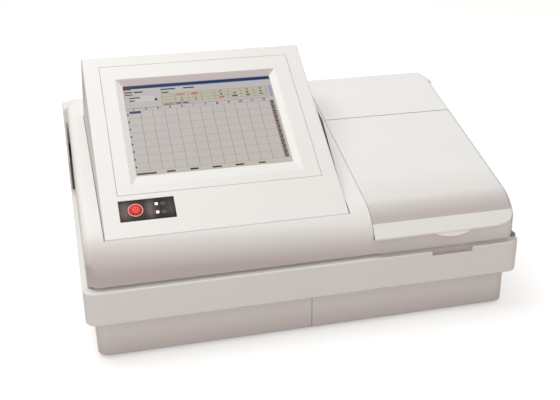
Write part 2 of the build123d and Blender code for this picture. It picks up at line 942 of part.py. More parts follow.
def button_board():
    """Small circuit board behind the panel, with the switch that the button presses."""
    stem_end = (
        -display_wall - boss_thickness - collar_gap - collar_thickness - stem_length
    )
    top = stem_end - button_travel - switch_gap - tact_height
    board = on_face(
        panel_left, panel_left + panel_width, panel_low + board_setback, panel_low + panel_length,
        top - board_thickness, top,
    )
    tact = on_face(
        button_x - tact_size / 2, button_x + tact_size / 2,
        button_s - tact_size / 2, button_s + tact_size / 2, top, top + tact_height,
    )
    posts = []
    back = -display_wall - boss_thickness
    for x in (panel_left + post_radius + 1, panel_left + panel_width - post_radius - 1):
        s = panel_low + panel_length - post_radius - 1
        post = face.location * Pos(x, s, (back + top) / 2) * Cylinder(post_radius, back - top)
        posts.append(post)
    return board + tact + posts[0] + posts[1]


def status_leds():
    """Two square light pipes beside the power button."""
    back = -display_wall - boss_thickness
    pipes = []
    for s in led_s:
        half = led_size / 2
        pipes.append(on_face(led_x - half, led_x + half, s - half, s + half, back, led_proud))
    return Compound(children=pipes)


def display_bezel():
    """Inner frame, held from behind, with a chamfered recess down to the screen."""
    g = bezel_gap
    front = on_face(
        bezel_left + g, bezel_left + bezel_width - g, bezel_low + g,
        bezel_low + bezel_length - g, -bezel_front, 0,
    )
    flange = on_face(
        bezel_left - bezel_flange, bezel_left + bezel_width + bezel_flange,
        bezel_low - bezel_flange, bezel_low + bezel_length + bezel_flange,
        -bezel_depth, -bezel_front,
    )
    top = Pos(recess_left + recess_width / 2, recess_low + recess_length / 2, 0) * RectangleRounded(
        recess_width, recess_length, recess_corner
    )
    low = Pos(screen_left + screen_width / 2, screen_low + screen_length / 2, -bezel_depth)
    low = low * RectangleRounded(screen_width, screen_length, screen_corner)
    recess = loft([low, top])
    return front + flange - face.location * recess


def touch_screen():
    """Glass front of the screen, against the back of the bezel."""
    m = glass_margin
    return on_face(
        screen_left - m, screen_left + screen_width + m, screen_low - m,
        screen_low + screen_length + m, -bezel_depth - glass_thickness, -bezel_depth,
    )


def lcd_panel():
    """Display cell and backlight behind the glass."""
    m = glass_margin
    top = -bezel_depth - glass_thickness
    return on_face(
        screen_left - m, screen_left + screen_width + m, screen_low - m,
        screen_low + screen_length + m, top - lcd_thickness, top,
    )


def display_board():
    """Processor board on the back of the display cell."""
    top = -bezel_depth - glass_thickness - lcd_thickness - board_standoff
    board = on_face(
        board_left, board_left + board_width, board_low, board_low + board_length,
        top - board_thickness, top,
    )
    for x in (board_left + post_setback, board_left + board_width - post_setback):
        for s in (board_low + post_setback, board_low + board_length - post_setback):
            board += on_face(
                x - post_radius, x + post_radius, s - post_radius, s + post_radius,
                top, top + board_standoff,
            )
    for i in range(3):
        x = board_left + (i + 0.5) * board_width / 3
        chip_half = display_chip / 2
        board += on_face(
            x - chip_half, x + chip_half, board_low + board_length / 3,
            board_low + board_length / 3 + 2 * chip_half,
            top - board_thickness - chip_height, top - board_thickness,
        )
    return board


# ---------------------------------------------------------------- lid and hinge
def nose_y(z, inset=0.0):
    """Depth of the cover's bullnose at a height."""
    centre_z = cover_apex - nose_radius * tan(radians((90 - cover_slope) / 2))
    reach = nose_radius - inset
    return cover_front + nose_radius - (reach**2 - (z - centre_z) ** 2) ** 0.5


def lid():
    """Hinged cover over the plate bay, with a flared lip and a finger tab."""
    form = cover_block(0, band_top, cover_half)
    span = box(
        lid_left, lid_right, 0, lid_split, lid_crease_height, 2 * shoulder_height
    )
    skin = (form - cover_block(lid_wall, band_top, cover_half - lid_wall)) & span
    for x0 in (lid_left, lid_right - lid_rib_wall):
        rib = form & box(
            x0, x0 + lid_rib_wall, 0, lid_split - rib_setback, lid_crease_height,
            2 * shoulder_height,
        )
        skin += rib - under_cover(lid_wall + lid_rib_depth)
    return skin + lid_lip() + finger_tab() - lid_end_bevel()


def lip_plan(inset):
    """Plan of the lip: straight along the front, swept back at its right end to the cut corner."""
    front = lid_lip_front + inset
    corner_x = cover_half - corner_chamfer - inset * (hypot(1, 1) - 1)
    corner_y = cover_front + inset
    end = lid_right + 1
    back = cover_front + nose_radius
    left = lid_left - 1
    start = (corner_x - lip_run_out, front)
    outline = Polyline((left, back), (left, front), start)
    outline += TangentArc(start, (corner_x, corner_y), tangent=(1, 0))
    outline += Polyline(
        (corner_x, corner_y), (end, corner_y + end - corner_x), (end, back), (left, back)
    )
    return extrude(make_face(outline), amount=2 * shoulder_height, dir=(0, 0, 1))


def lid_lip():
    """Flared lower part of the lid's front, wrapped round the cut corner."""
    back = cover_front + nose_radius
    front = lid_lip_front
    outer = across(
        [(front, lid_sill), (front, lid_lip_height), (nose_y(lid_crease_height), lid_crease_height),
         (back, lid_crease_height), (back, lid_sill)],
        lid_left, lid_right,
    )
    front += lid_wall
    y_in = nose_y(lid_crease_height, lid_wall)
    inner = across(
        [(front, 0), (front, lid_lip_height), (y_in, lid_crease_height),
         (y_in, 2 * lid_crease_height), (back + 1, 2 * lid_crease_height), (back + 1, 0)],
        lid_left - 1, lid_right + 1,
    )
    return (outer & lip_plan(0)) - (inner & lip_plan(lid_wall))


def finger_tab():
    """Crescent under the lip, for a fingertip."""
    foot = lid_lip_front - tab_lean
    plate = across(
        [(lid_lip_front, lid_lip_height), (foot, lid_sill - tab_drop),
         (foot + tab_lean + 1, lid_sill - tab_drop), (lid_lip_front + lid_wall, lid_sill),
         (lid_lip_front + lid_wall, lid_lip_height)],
        tab_centre - tab_width / 2, tab_centre + tab_width / 2,
    )
    rise = tab_drop + (lid_lip_height - lid_sill)
    radius = ((tab_width / 2) ** 2 + rise**2) / (2 * rise)
    arc = rod_y(tab_centre, -nose_radius, nose_radius, lid_sill - tab_drop + radius, radius)
    return plate & arc


def lid_end_bevel():
    """Undercut of the lid's rear end, so it clears the rear top cover as it turns."""
    z_top = slope_z(lid_split)
    reach = hypot(hinge_y - lid_split, z_top - hinge_z)
    z_low = z_top - 2 * lid_wall
    y_low = hinge_y - (reach**2 - (z_low - hinge_z) ** 2) ** 0.5
    behind = lid_split + 2 * lid_wall
    return across(
        [(lid_split, z_top), (y_low, z_low), (behind, z_low), (behind, z_top)],
        lid_left, lid_right,
    )


def lid_hinge_arms():
    """Two gooseneck arms that reach from the lid's underside down and back to the pins."""
    roots = [hinge_y - ahead for ahead in arm_root]
    points = [(y, slope_z(y, lid_wall)) for y in roots]
    points += [(hinge_y - ahead, hinge_z - below) for ahead, below in arm_inner_bend]
    points += [(hinge_y - hinge_boss_radius * 0.9, hinge_z)]
    points += [(hinge_y + hinge_boss_radius * 0.9, hinge_z)]
    points += [(hinge_y - ahead, hinge_z - below) for ahead, below in arm_outer_bend]
    arms = []
    for x in arm_positions:
        x0 = x - arm_thickness / 2
        x1 = x + arm_thickness / 2
        arm = across(points, x0, x1) + rod_x(x0, x1, hinge_y, hinge_z, hinge_boss_radius)
        arms.append(arm - rod_x(x0, x1, hinge_y, hinge_z, hinge_pin_radius + hinge_fit))
    return Compound(children=arms)


def hinge_pins():
    """Pin through each arm and both ears of its bracket."""
    reach = arm_thickness / 2 + ear_gap + ear_thickness
    return Compound(children=[
        rod_x(x - reach, x + reach, hinge_y, hinge_z, hinge_pin_radius) for x in arm_positions
    ])


def hinge_brackets():
    """Pairs of ears that hang from the rear top cover and hold the pins."""
    y0 = hinge_y - hinge_boss_radius
    y1 = y0 + ear_length
    y2 = y1 - ear_root - ear_rear_rise / 2
    low = hinge_z - ear_drop
    inner = arm_thickness / 2 + ear_gap
    outer = inner + ear_thickness
    side = [
        (y0, low), (y0, slope_z(y0, wall)), (y1, slope_z(y1, wall)),
        (y1, hinge_z + ear_rear_rise), (hinge_y + ear_drop, low),
    ]
    between = [
        (y0, low), (y0, slope_z(y0, wall + ear_root)), (y2, slope_z(y2, wall + ear_root)),
        (y2, low),
    ]
    brackets = []
    for x in arm_positions:
        ears = across(side, x - outer, x + outer) - across(between, x - inner, x + inner)
        brackets.append(ears - rod_x(x - outer, x + outer, hinge_y, hinge_z, hinge_pin_radius))
    return Compound(children=brackets)


def bay_liner():
    """Walls of the plate bay, up to just under the lid."""
    x0 = lid_left + lid_rib_wall + liner_gap
    x1 = lid_right - lid_rib_wall - liner_gap
    ring = box(x0, x1, liner_front, liner_back, band_top, 2 * shoulder_height)
    ring -= box(
        x0 + liner_wall, x1 - liner_wall, liner_front + liner_wall, liner_back - liner_wall,
        0, 3 * shoulder_height,
    )
    ring &= under_cover(lid_wall + liner_clear)
    ring -= box(
        x0, x0 + liner_wall, carriage_front - liner_door_gap, carriage_back + liner_door_gap,
        band_top, door_top,
    )
    half = arm_thickness / 2 + 2 * ear_gap
    for x in arm_positions:
        ring -= box(
            x - half, x + half, liner_back - 2 * liner_wall, liner_back + 1,
            hinge_z - arm_clearance, 2 * shoulder_height,
        )
    return ring - corner_cut(1, liner_corner)


# ---------------------------------------------------------------- plate carriage
def deck_pillars():
    """Posts that carry the measuring deck, clear of the motor and the boards."""
    front = deck_front + pillar_inset
    back = deck_back - pillar_rear_inset
    middle = lid_left - pillar_side
    right = deck_right - pillar_right_inset
    beside_motor = drive_x + motor_size / 2 + 3 * pillar_radius
    places = [(rod_left, front), (beside_motor, back)]
    places += [(x, y) for x in (middle, right) for y in (front, back)]
    posts = [rod_z(x, y, chassis_top, deck_height, pillar_radius) for x, y in places]
    return Compound(children=posts)


def deck_plate():
    deck = box(deck_left, deck_right, deck_front, deck_back, deck_height, deck_top)
    deck -= box(
        lens_x - lens_slot / 2, lens_x + lens_slot / 2, channel_y(0) - lens_slot,
        channel_y(channels - 1) + lens_slot, deck_height, deck_top,
    )
    deck -= rod_z(drive_x, belt_y, deck_height, deck_top, motor_shaft_radius + 2)
    return deck


def guide_rods():
    return Compound(children=[
        rod_x(rod_left, rod_right, y, rod_height, rod_radius) for y in (rod_front_y, rod_rear_y)
    ])


def rod_supports():
    """Block under each end of each guide rod."""
    blocks = []
    for y in (rod_front_y, rod_rear_y):
        for x0 in (rod_left, rod_right - support_length):
            block = box(
                x0, x0 + support_length, y - support_half, y + support_half,
                deck_top, rod_height + rod_radius + 2,
            )
            blocks.append(block - rod_x(x0, x0 + support_length, y, rod_height, rod_radius))
    return Compound(children=blocks)


def plate_carriage():
    """Sliding tray with a nest for the plate, a window under the wells and guide blocks."""
    x0, x1 = carriage_left, carriage_right
    y0, y1 = carriage_front, carriage_back
    z0, z1 = carriage_base, carriage_base + carriage_thickness
    tray = rounded_block(x0, x1, y0, y1, z0, z1, carriage_corner)
    nx = nest_x
    half_x = plate_length / 2 + plate_fit
    half_y = plate_width / 2 + plate_fit
    tray -= box(nx - half_x, nx + half_x, nest_y - half_y, nest_y + half_y, z0 + nest_floor, z1)
    tray -= box(
        nx - half_x + nest_ledge, nx + half_x - nest_ledge,
        nest_y - half_y + nest_ledge, nest_y + half_y - nest_ledge, z0, z1,
    )
    for x, y in guide_places:
        low = deck_top + guide_clear
        tray += box(x - guide_length / 2, x + guide_length / 2, y - guide_half, y + guide_half, low, z0)
        tray -= rod_x(x - guide_length, x + guide_length, y, rod_height, bush_radius)
    clamp = box(
        nx - clamp_length / 2, nx + clamp_length / 2, belt_run_y - clamp_half,
        belt_run_y + clamp_half, deck_top + guide_clear, z0 + 1,
    )
    slot = box(
        nx - clamp_length, nx + clamp_length, belt_run_y - belt_thickness / 2 - belt_clear,
        belt_run_y + belt_thickness / 2 + belt_clear, 0, belt_z + belt_width / 2 + belt_clear,
    )
    tray += box(
        nx - clamp_length / 2, nx + clamp_length / 2, y1 - 2, belt_run_y + clamp_half, z0, z0 + 3
    )
    return tray + (clamp - slot)


def carriage_bushes():
    """Plain bearings in the carriage's guide blocks."""
    bushes = []
    for x, y in guide_places:
        sleeve = rod_x(x - guide_length / 2, x + guide_length / 2, y, rod_height, bush_radius)
        bore = rod_x(x - guide_length, x + guide_length, y, rod_height, rod_radius + rod_fit)
        bushes.append(sleeve - bore)
    return Compound(children=bushes)


def timing_belt():
    """Closed belt loop between the drive pulley and the idler."""
    middle = (drive_x + idler_x) / 2
    run = idler_x - drive_x
    outer = SlotCenterToCenter(run, 2 * (pulley_radius + belt_thickness))
    inner = SlotCenterToCenter(run, 2 * pulley_radius)
    return Pos(middle, belt_y, belt_z - belt_width / 2) * extrude(outer - inner, amount=belt_width)


def pulley(x):
    """Flanged belt pulley with a hub."""
    z0 = belt_z - belt_width / 2
    z1 = belt_z + belt_width / 2
    body = rod_z(x, belt_y, z0 - belt_play, z1 + belt_play, pulley_radius - belt_seat)
    for z in (z0 - belt_play - pulley_flange, z1 + belt_play):
        body += rod_z(x, belt_y, z, z + pulley_flange, pulley_radius + belt_thickness)
    return body - rod_z(x, belt_y, 0, 2 * belt_z, motor_shaft_radius)


def drive_pulley():
    return pulley(drive_x) + rod_z(
        drive_x, belt_y, deck_height - 1, belt_z + belt_width / 2 + 1, motor_shaft_radius
    )


def idler_pulley():
    idler = pulley(idler_x)
    return idler - rod_z(idler_x, belt_y, 0, 2 * belt_z, motor_shaft_radius + rod_fit)


def idler_post():
    """Fixed post that the idler turns on."""
    foot_top = belt_z - belt_width / 2 - pulley_flange - 2 * belt_play
    post = rod_z(idler_x, belt_y, deck_top, foot_top, pulley_radius)
    return post + rod_z(
        idler_x, belt_y, foot_top, belt_z + belt_width / 2 + 2, motor_shaft_radius
    )


def carriage_motor():
    """Stepper motor under the deck."""
    z1 = deck_height
    half = motor_size / 2
    body = box(drive_x - half, drive_x + half, belt_y - half, belt_y + half, z1 - motor_length, z1)
    body = chamfer(body.edges().filter_by(Axis.Z), motor_corner)
    return body - rod_z(drive_x, belt_y, z1 - motor_bore, z1, motor_shaft_radius + shaft_clear)


# ---------------------------------------------------------------- optics
def channel_y(i):
    """Depth of one of the eight reading channels."""
    return nest_y + (i - (channels - 1) / 2) * well_pitch


def lens_bar():
    """Bar under the plate's path that holds one lens for each channel."""
    half = lens_bar_width / 2
    bar = box(
        lens_x - half, lens_x + half, channel_y(0) - well_pitch, channel_y(channels - 1) + well_pitch,
        deck_top, lens_bar_top,
    )
    for i in range(channels):
        bar -= rod_z(lens_x, channel_y(i), lens_bar_top - lens_depth, lens_bar_top, lens_radius)
    return bar


def lenses():
    """Plano-convex lenses seated in the lens bar."""
    row = []
    for i in range(channels):
        low = lens_bar_top - lens_depth
        row.append(rod_z(lens_x, channel_y(i), low, low + lens_thickness, lens_radius))
    return Compound(children=row)


def read_head():
    """Detector block over the plate's path."""
    half = lens_bar_width / 2
    head = box(
        lens_x - half, lens_x + half, channel_y(0) - well_pitch, channel_y(channels - 1) + well_pitch,
        head_bottom, head_top,
    )
    for i in range(channels):
        head -= rod_z(lens_x, channel_y(i), head_bottom, head_bottom + lens_depth, lens_radius)
    return head


def optics_bridge():
    """Gantry that carries the read head over the plate's path."""
    half = bridge_width / 2
    beam = box(
        lens_x - half, lens_x + half, bridge_front, bridge_back, head_top,
        head_top + bridge_thickness,
    )
    for y in (bridge_front, bridge_back - bridge_thickness):
        beam += box(lens_x - half, lens_x + half, y, y + bridge_thickness, deck_top, head_top)
    return beam


def optics_plate():
    """Upright plate that holds the filter wheel's motor and the lens tube."""
    plate = box(
        optics_x, optics_x + optics_wall, beam_y - optics_reach, beam_y + optics_margin,
        chassis_top, optics_top,
    )
    foot = box(
        optics_x, optics_x + optics_foot, beam_y - optics_reach, beam_y + optics_margin,
        chassis_top, chassis_top + optics_wall,
    )
    plate = plate + foot
    plate -= rod_x(optics_x - 1, optics_x + optics_wall + 1, beam_y, beam_z, tube_radius)
    return plate - rod_x(
        optics_x - 1, optics_x + optics_wall + 1, wheel_y, beam_z, motor_shaft_radius + 1
    )


def lamp_housing():
    """Finned box round the halogen lamp, open towards the lens tube."""
    x1 = optics_x - tube_length
    x0 = x1 - lamp_box
    y0 = beam_y - lamp_box / 2
    y1 = beam_y + lamp_box / 2
    shell = box(x0, x1, y0, y1, chassis_top, lamp_top)
    shell -= box(x0 + wall, x1 - wall, y0 + wall, y1 - wall, chassis_top + wall, lamp_top - wall)
    pitch = lamp_box / (lamp_fins + 1)
    for i in range(lamp_fins):
        x = x0 + pitch * (i + 1)
        shell += box(x - fin_wall / 2, x + fin_wall / 2, y0, y1, lamp_top, lamp_top + fin_height)
    return shell - rod_x(x1 - wall - 1, x1 + 1, beam_y, beam_z, tube_radius)


def lamp():
    """Halogen bulb on its ceramic base."""
    x = optics_x - tube_length - lamp_box / 2
    base = rod_z(x, beam_y, chassis_top + wall, beam_z - bulb_radius, bulb_radius)
    bulb = rod_z(x, beam_y, beam_z - bulb_radius, beam_z + bulb_radius, glass_radius)
    return base + bulb


def lens_tube():
    """Tube between the lamp and the filter wheel."""
    x0 = optics_x - tube_length - wall
    x1 = optics_x + optics_wall + 0.5
    tube = rod_x(x0, x1, beam_y, beam_z, tube_radius)
    return tube - rod_x(x0 - 1, x1 + 1, beam_y, beam_z, tube_radius - tube_wall)


def condenser_lens():
    """Lens in the middle of the tube."""
    x = optics_x - tube_length / 2
    return rod_x(x, x + lens_thickness, beam_y, beam_z, tube_radius - tube_wall)


def filter_wheel():
    """Wheel with a ring of filter seats and a hub on the motor's shaft."""
    x0 = wheel_x
    x1 = wheel_x + wheel_thickness
    wheel = rod_x(x0, x1, wheel_y, beam_z, wheel_radius)
    for i in range(filter_count):
        y, z = filter_place(i)
        wheel -= rod_x(x0 + filter_lip, x1 + 1, y, z, filter_radius)
        wheel -= rod_x(x0 - 1, x1, y, z, filter_radius - filter_lip)
    hub = rod_x(optics_x - 2, x1 + 2, wheel_y, beam_z, motor_shaft_radius)
    return wheel + hub + rod_x(x1, x1 + 2, wheel_y, beam_z, 2 * motor_shaft_radius)


def filter_place(i):
    """Centre of one filter seat."""
    turn = radians(360 * i / filter_count)
    pitch_radius = beam_y - wheel_y
    return wheel_y + pitch_radius * cos(turn), beam_z + pitch_radius * sin(turn)


def filters():
    """Interference filters in the wheel."""
    discs = []
    for i in range(filter_count):
        y, z = filter_place(i)
        discs.append(rod_x(wheel_x + filter_lip, wheel_x + wheel_thickness, y, z, filter_radius))
    return Compound(children=discs)


def filter_motor():
    """Small stepper behind the optics plate."""
    body = rod_x(optics_x - filter_motor_length, optics_x, wheel_y, beam_z, filter_motor_radius)
    return body - rod_x(optics_x - 3, optics_x, wheel_y, beam_z, motor_shaft_radius + 0.5)


# ---------------------------------------------------------------- electronics
def chassis_plate():
    """Metal floor that ties both halves of the base together."""
    inset = skirt_inset + wall + chassis_gap
    return rounded_block(
        -half_width + inset, half_width - inset, inset, body_depth - inset,
        foot_height + wall, chassis_top, skirt_corner - wall,
    )


def main_board():
    """Main circuit board on standoffs."""
    z0 = chassis_top + board_standoff
    board = box(main_left, main_right, main_front, main_back, z0, z0 + board_thickness)
    for x in (main_left + post_setback, main_right - post_setback):
        for y in (main_front + post_setback, main_back - post_setback):
            board += box(
                x - post_radius, x + post_radius, y - post_radius, y + post_radius, chassis_top, z0
            )
    z1 = z0 + board_thickness
    for dx, dy in chip_places:
        x = main_left + dx
        y = main_front + dy
        board += box(x, x + main_chip, y, y + main_chip, z1, z1 + chip_height)
    return board


def power_supply():
    """Enclosed power supply with a vented lid."""
    block = box(supply_left, supply_right, supply_front, supply_back, chassis_top, supply_top)
    pitch = (supply_right - supply_left) / (groove_count + 1)
    for i in range(groove_count):
        x = supply_left + pitch * (i + 1)
        block -= box(
            x - groove_width / 2, x + groove_width / 2, supply_front + groove_inset,
            supply_back - groove_inset, supply_top - groove_depth, supply_top,
        )
    return block


def fan_frame():
    """Square axial fan body on the inside of the back panel."""
    y1 = body_depth - panel_recess - panel_thickness
    half = fan_size / 2
    frame = box(fan_x - half, fan_x + half, y1 - fan_depth, y1, fan_z - half, fan_z + half)
    frame -= rod_y(fan_x, y1 - fan_depth, y1, fan_z, fan_bore)
    strut = box(fan_x - half, fan_x + half, y1 - fan_depth, y1 - fan_depth + 2, fan_z - 2, fan_z + 2)
    boss = rod_y(fan_x, y1 - fan_depth, y1 - fan_depth + 2, fan_z, fan_hub)
    axle = rod_y(fan_x, y1 - fan_depth, y1 - 3, fan_z, fan_axle)
    return frame + strut + boss + axle


def fan_impeller():
    """Hub and blades that turn on the fan's axle."""
    y1 = body_depth - panel_recess - panel_thickness - fan_clear
    y0 = y1 - fan_hub_length
    impeller = rod_y(fan_x, y0, y1, fan_z, fan_hub)
    for i in range(fan_blades):
        blade = Pos((fan_hub + fan_tip - 1) / 2, 0, 0) * Rot(blade_pitch, 0, 0) * Box(
            fan_tip - fan_hub + 1, blade_thickness, blade_chord
        )
        turned = Rot(0, 360 * i / fan_blades, 0) * blade
        impeller += Pos(fan_x, (y0 + y1) / 2, fan_z) * turned
    return impeller - rod_y(fan_x, y0 - 1, y1 - fan_cap, fan_z, fan_axle + rod_fit)


def mains_inlet():
    """Appliance inlet with three flat pins in a socket."""
    y1 = body_depth - panel_recess
    body = socket_block(inlet_x, inlet_width, inlet_height, inlet_depth, -socket_fit, y1)
    body += socket_block(inlet_x, inlet_width, inlet_height, 1, inlet_rim, y1 + 1)
    floor = y1 - inlet_depth + wall
    body -= socket_block(inlet_x, inlet_width, inlet_height, y1 + 1 - floor, -inlet_rim, y1 + 1)
    for dx, dz in ((-pin_pitch, -pin_rise), (0, pin_rise), (pin_pitch, -pin_rise)):
        x = inlet_x + dx
        z = socket_z + dz
        body += box(
            x - pin_thickness / 2, x + pin_thickness / 2, floor, y1 - pin_depth,
            z - pin_height / 2, z + pin_height / 2,
        )
    return body


def switch_frame():
    """Frame of the mains switch, open for the rocker."""
    y1 = body_depth - panel_recess
    frame = socket_block(switch_x, switch_width, switch_height, switch_depth, -socket_fit, y1)
    frame += socket_block(switch_x, switch_width, switch_height, 1, switch_rim, y1 + 1)
    deep = switch_depth - wall + 1
    return frame - socket_block(
        switch_x, switch_width, switch_height, deep, -switch_wall, y1 + 1
    )


def rocker():
    """Mains rocker, tilted to its off side."""
    y1 = body_depth - panel_recess
    half_x = switch_width / 2 - switch_wall - rocker_gap
    half_z = switch_height / 2 - switch_wall - rocker_gap
    edge = half_z - rocker_chamfer
    crown = across(
        [(y1 - rocker_axis_depth, socket_z - half_z / 2), (y1 - rocker_sink, socket_z - edge),
         (y1 + rocker_proud, socket_z), (y1 - rocker_sink, socket_z + edge),
         (y1 - rocker_axis_depth, socket_z + half_z / 2)],
        switch_x - half_x, switch_x + half_x,
    )
    axle = rod_x(switch_x - half_x, switch_x + half_x, y1 - rocker_axis_depth, socket_z, rocker_axle)
    return crown + axle


def port_sockets():
    """Block of data sockets in the back panel."""
    y1 = body_depth - panel_recess
    block = socket_block(
        port_centre, port_block_width, port_block_height, port_depth, -socket_fit, y1
    )
    for x in port_x:
        block -= socket_block(x, port_width, port_height, port_depth - port_floor, 0, y1)
    return block


# ---------------------------------------------------------------- build


def in_place(shape):
    """Move a sub-part back by half the depth, as one solid or a group of solids."""
    solids = [Pos(0, -body_depth / 2, 0) * solid for solid in shape.solids()]
    return solids[0] if len(solids) == 1 else Compound(solids)


nodes = {
    "rubber_feet": rubber_feet,
    "base_skirt_left": lambda: base_skirt(-1),
    "base_skirt_right": lambda: base_skirt(1),
    "chassis_plate": chassis_plate,
    "middle_band": middle_band,
    "upper_cover": upper_cover,
    "rear_top_cover": rear_top_cover,
    "rear_housing": rear_housing,
    "grip_pads": grip_pads,
    "side_rail": side_rail,
    "rear_panel": rear_panel,
    "display_housing": display_housing,
    "display_bezel": display_bezel,
    "touch_screen": touch_screen,
    "lcd_panel": lcd_panel,
    "display_board": display_board,
    "control_panel": control_panel,
    "button_ring": button_ring,
    "power_button": power_button,
    "button_board": button_board,
    "status_leds": status_leds,
    "lid": lid,
    "lid_hinge_arms": lid_hinge_arms,
    "hinge_pins": hinge_pins,
    "hinge_brackets": hinge_brackets,
    "bay_liner": bay_liner,
    "deck_pillars": deck_pillars,
    "deck_plate": deck_plate,
    "guide_rods": guide_rods,
    "rod_supports": rod_supports,
    "plate_carriage": plate_carriage,
    "carriage_bushes": carriage_bushes,
    "timing_belt": timing_belt,
    "drive_pulley": drive_pulley,
    "idler_pulley": idler_pulley,
    "idler_post": idler_post,
    "carriage_motor": carriage_motor,
    "lens_bar": lens_bar,
    "lenses": lenses,
    "read_head": read_head,
    "optics_bridge": optics_bridge,
    "optics_plate": optics_plate,
    "lamp_housing": lamp_housing,
    "lamp": lamp,
    "lens_tube": lens_tube,
    "condenser_lens": condenser_lens,
    "filter_wheel": filter_wheel,
    "filters": filters,
    "filter_motor": filter_motor,
    "main_board": main_board,
    "power_supply": power_supply,
    "fan_frame": fan_frame,
    "fan_impeller": fan_impeller,
    "mains_inlet": mains_inlet,
    "switch_frame": switch_frame,
    "mains_rocker": rocker,
    "port_sockets": port_sockets,
}

for name, make in nodes.items():
    export_step(in_place(make()), f"parts/{name}.step")
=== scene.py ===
import json
from math import cos, pi, radians, sin

import bmesh
import bpy
from mathutils import Matrix, Vector


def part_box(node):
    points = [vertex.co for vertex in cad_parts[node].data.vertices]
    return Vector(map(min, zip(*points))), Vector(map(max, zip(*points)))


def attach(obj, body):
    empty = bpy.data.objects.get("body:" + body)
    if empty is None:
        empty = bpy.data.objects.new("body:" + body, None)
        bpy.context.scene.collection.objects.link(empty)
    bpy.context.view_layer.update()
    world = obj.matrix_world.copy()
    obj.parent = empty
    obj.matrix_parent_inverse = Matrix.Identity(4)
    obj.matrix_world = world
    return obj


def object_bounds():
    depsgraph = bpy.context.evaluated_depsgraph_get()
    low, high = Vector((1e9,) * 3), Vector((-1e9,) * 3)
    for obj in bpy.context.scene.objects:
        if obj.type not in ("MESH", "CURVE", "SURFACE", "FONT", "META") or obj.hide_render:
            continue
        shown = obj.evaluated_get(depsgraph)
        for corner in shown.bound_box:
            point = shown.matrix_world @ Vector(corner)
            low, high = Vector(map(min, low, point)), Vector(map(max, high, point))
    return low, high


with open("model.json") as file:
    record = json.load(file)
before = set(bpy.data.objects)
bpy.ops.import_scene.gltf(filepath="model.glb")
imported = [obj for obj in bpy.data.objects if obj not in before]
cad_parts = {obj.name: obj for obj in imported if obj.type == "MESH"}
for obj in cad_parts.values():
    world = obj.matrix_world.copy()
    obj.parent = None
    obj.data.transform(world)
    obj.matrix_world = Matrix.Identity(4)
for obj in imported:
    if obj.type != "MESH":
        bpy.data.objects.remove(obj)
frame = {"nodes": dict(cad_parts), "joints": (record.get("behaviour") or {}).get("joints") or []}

bl_info = {
    "name": "Microplate Reader Dressing",
    "version": (1, 0, 0),
    "blender": (4, 5, 0),
    "location": "3D View > Sidebar > Reader",
    "description": "Finishes, screen page, key symbols and studio for a bench microplate reader",
    "category": "Object",
}

MM = 0.001
CAD_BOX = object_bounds()
JOINTS = {joint["name"]: joint for joint in frame["joints"]}
FACE_NORMAL = -Vector(JOINTS["power_button_press"]["axis"]).normalized()
FACE_RIGHT = Vector((1, 0, 0))
FACE_UP = FACE_NORMAL.cross(FACE_RIGHT)
SCREEN_MARGIN = 3.0 * MM        # glass hidden behind the bezel, each side
PAGE_LAYER = 0.06 * MM          # step from one layer of the lit page to the next
PAGE_DEPTH = 0.05 * MM
GLASS_LOW, GLASS_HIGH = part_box("touch_screen")

# Shares of red, green and blue that a moulding's colour keeps where shade is painted on it, and
# where a highlight is painted on the finger tab.
NOSE_SHADE = (0.68, 0.62, 0.62)
CHEEK_SHADE = (0.74, 0.68, 0.69)
NOTCH_SHADE = (0.66, 0.60, 0.57)
SLOT_SHADE = (0.40, 0.35, 0.33)
TAB_PAINTED_HIGHLIGHT = (1.16, 1.16, 1.16)
# Shares of the colour kept in narrow gaps, where shade is painted by ambient occlusion.
DARK_SEAM_SHADE = 0.10
LEDGE_SEAM_SHADE = 0.55
SOFT_SEAM_SHADE = 0.5


def linear(red, green, blue):
    """A colour given in the 0 to 255 display values, as a linear RGBA colour."""
    def one(value):
        share = value / 255
        return share / 12.92 if share <= 0.04045 else ((share + 0.055) / 1.055) ** 2.4
    return (one(red), one(green), one(blue), 1.0)


# ---------------------------------------------------------------- shader maths
class Reading:
    """A value that varies over a surface, held as a node socket; maths on it adds Math nodes."""

    def __init__(self, board, socket):
        self.board = board
        self.socket = socket

    def maths(self, operation, *values):
        return self.board.node("ShaderNodeMath", {"operation": operation}, dict(enumerate(values)))

    def __add__(self, other):
        return self.maths("ADD", self, other)

    def __radd__(self, other):
        return self.maths("ADD", other, self)

    def __sub__(self, other):
        return self.maths("SUBTRACT", self, other)

    def __rsub__(self, other):
        return self.maths("SUBTRACT", other, self)

    def __mul__(self, other):
        return self.maths("MULTIPLY", self, other)

    def __rmul__(self, other):
        return self.maths("MULTIPLY", other, self)

    def __truediv__(self, other):
        return self.maths("DIVIDE", self, other)

    def __rtruediv__(self, other):
        return self.maths("DIVIDE", other, self)

    def __gt__(self, other):
        return self.maths("GREATER_THAN", self, other)

    def __lt__(self, other):
        return self.maths("LESS_THAN", self, other)

    def at_least(self, other):
        return self.maths("MAXIMUM", self, other)

    def at_most(self, other):
        return self.maths("MINIMUM", self, other)

    def clamped(self):
        return self.at_least(0.0).at_most(1.0)

    def fraction(self):
        return self.maths("FRACT", self)


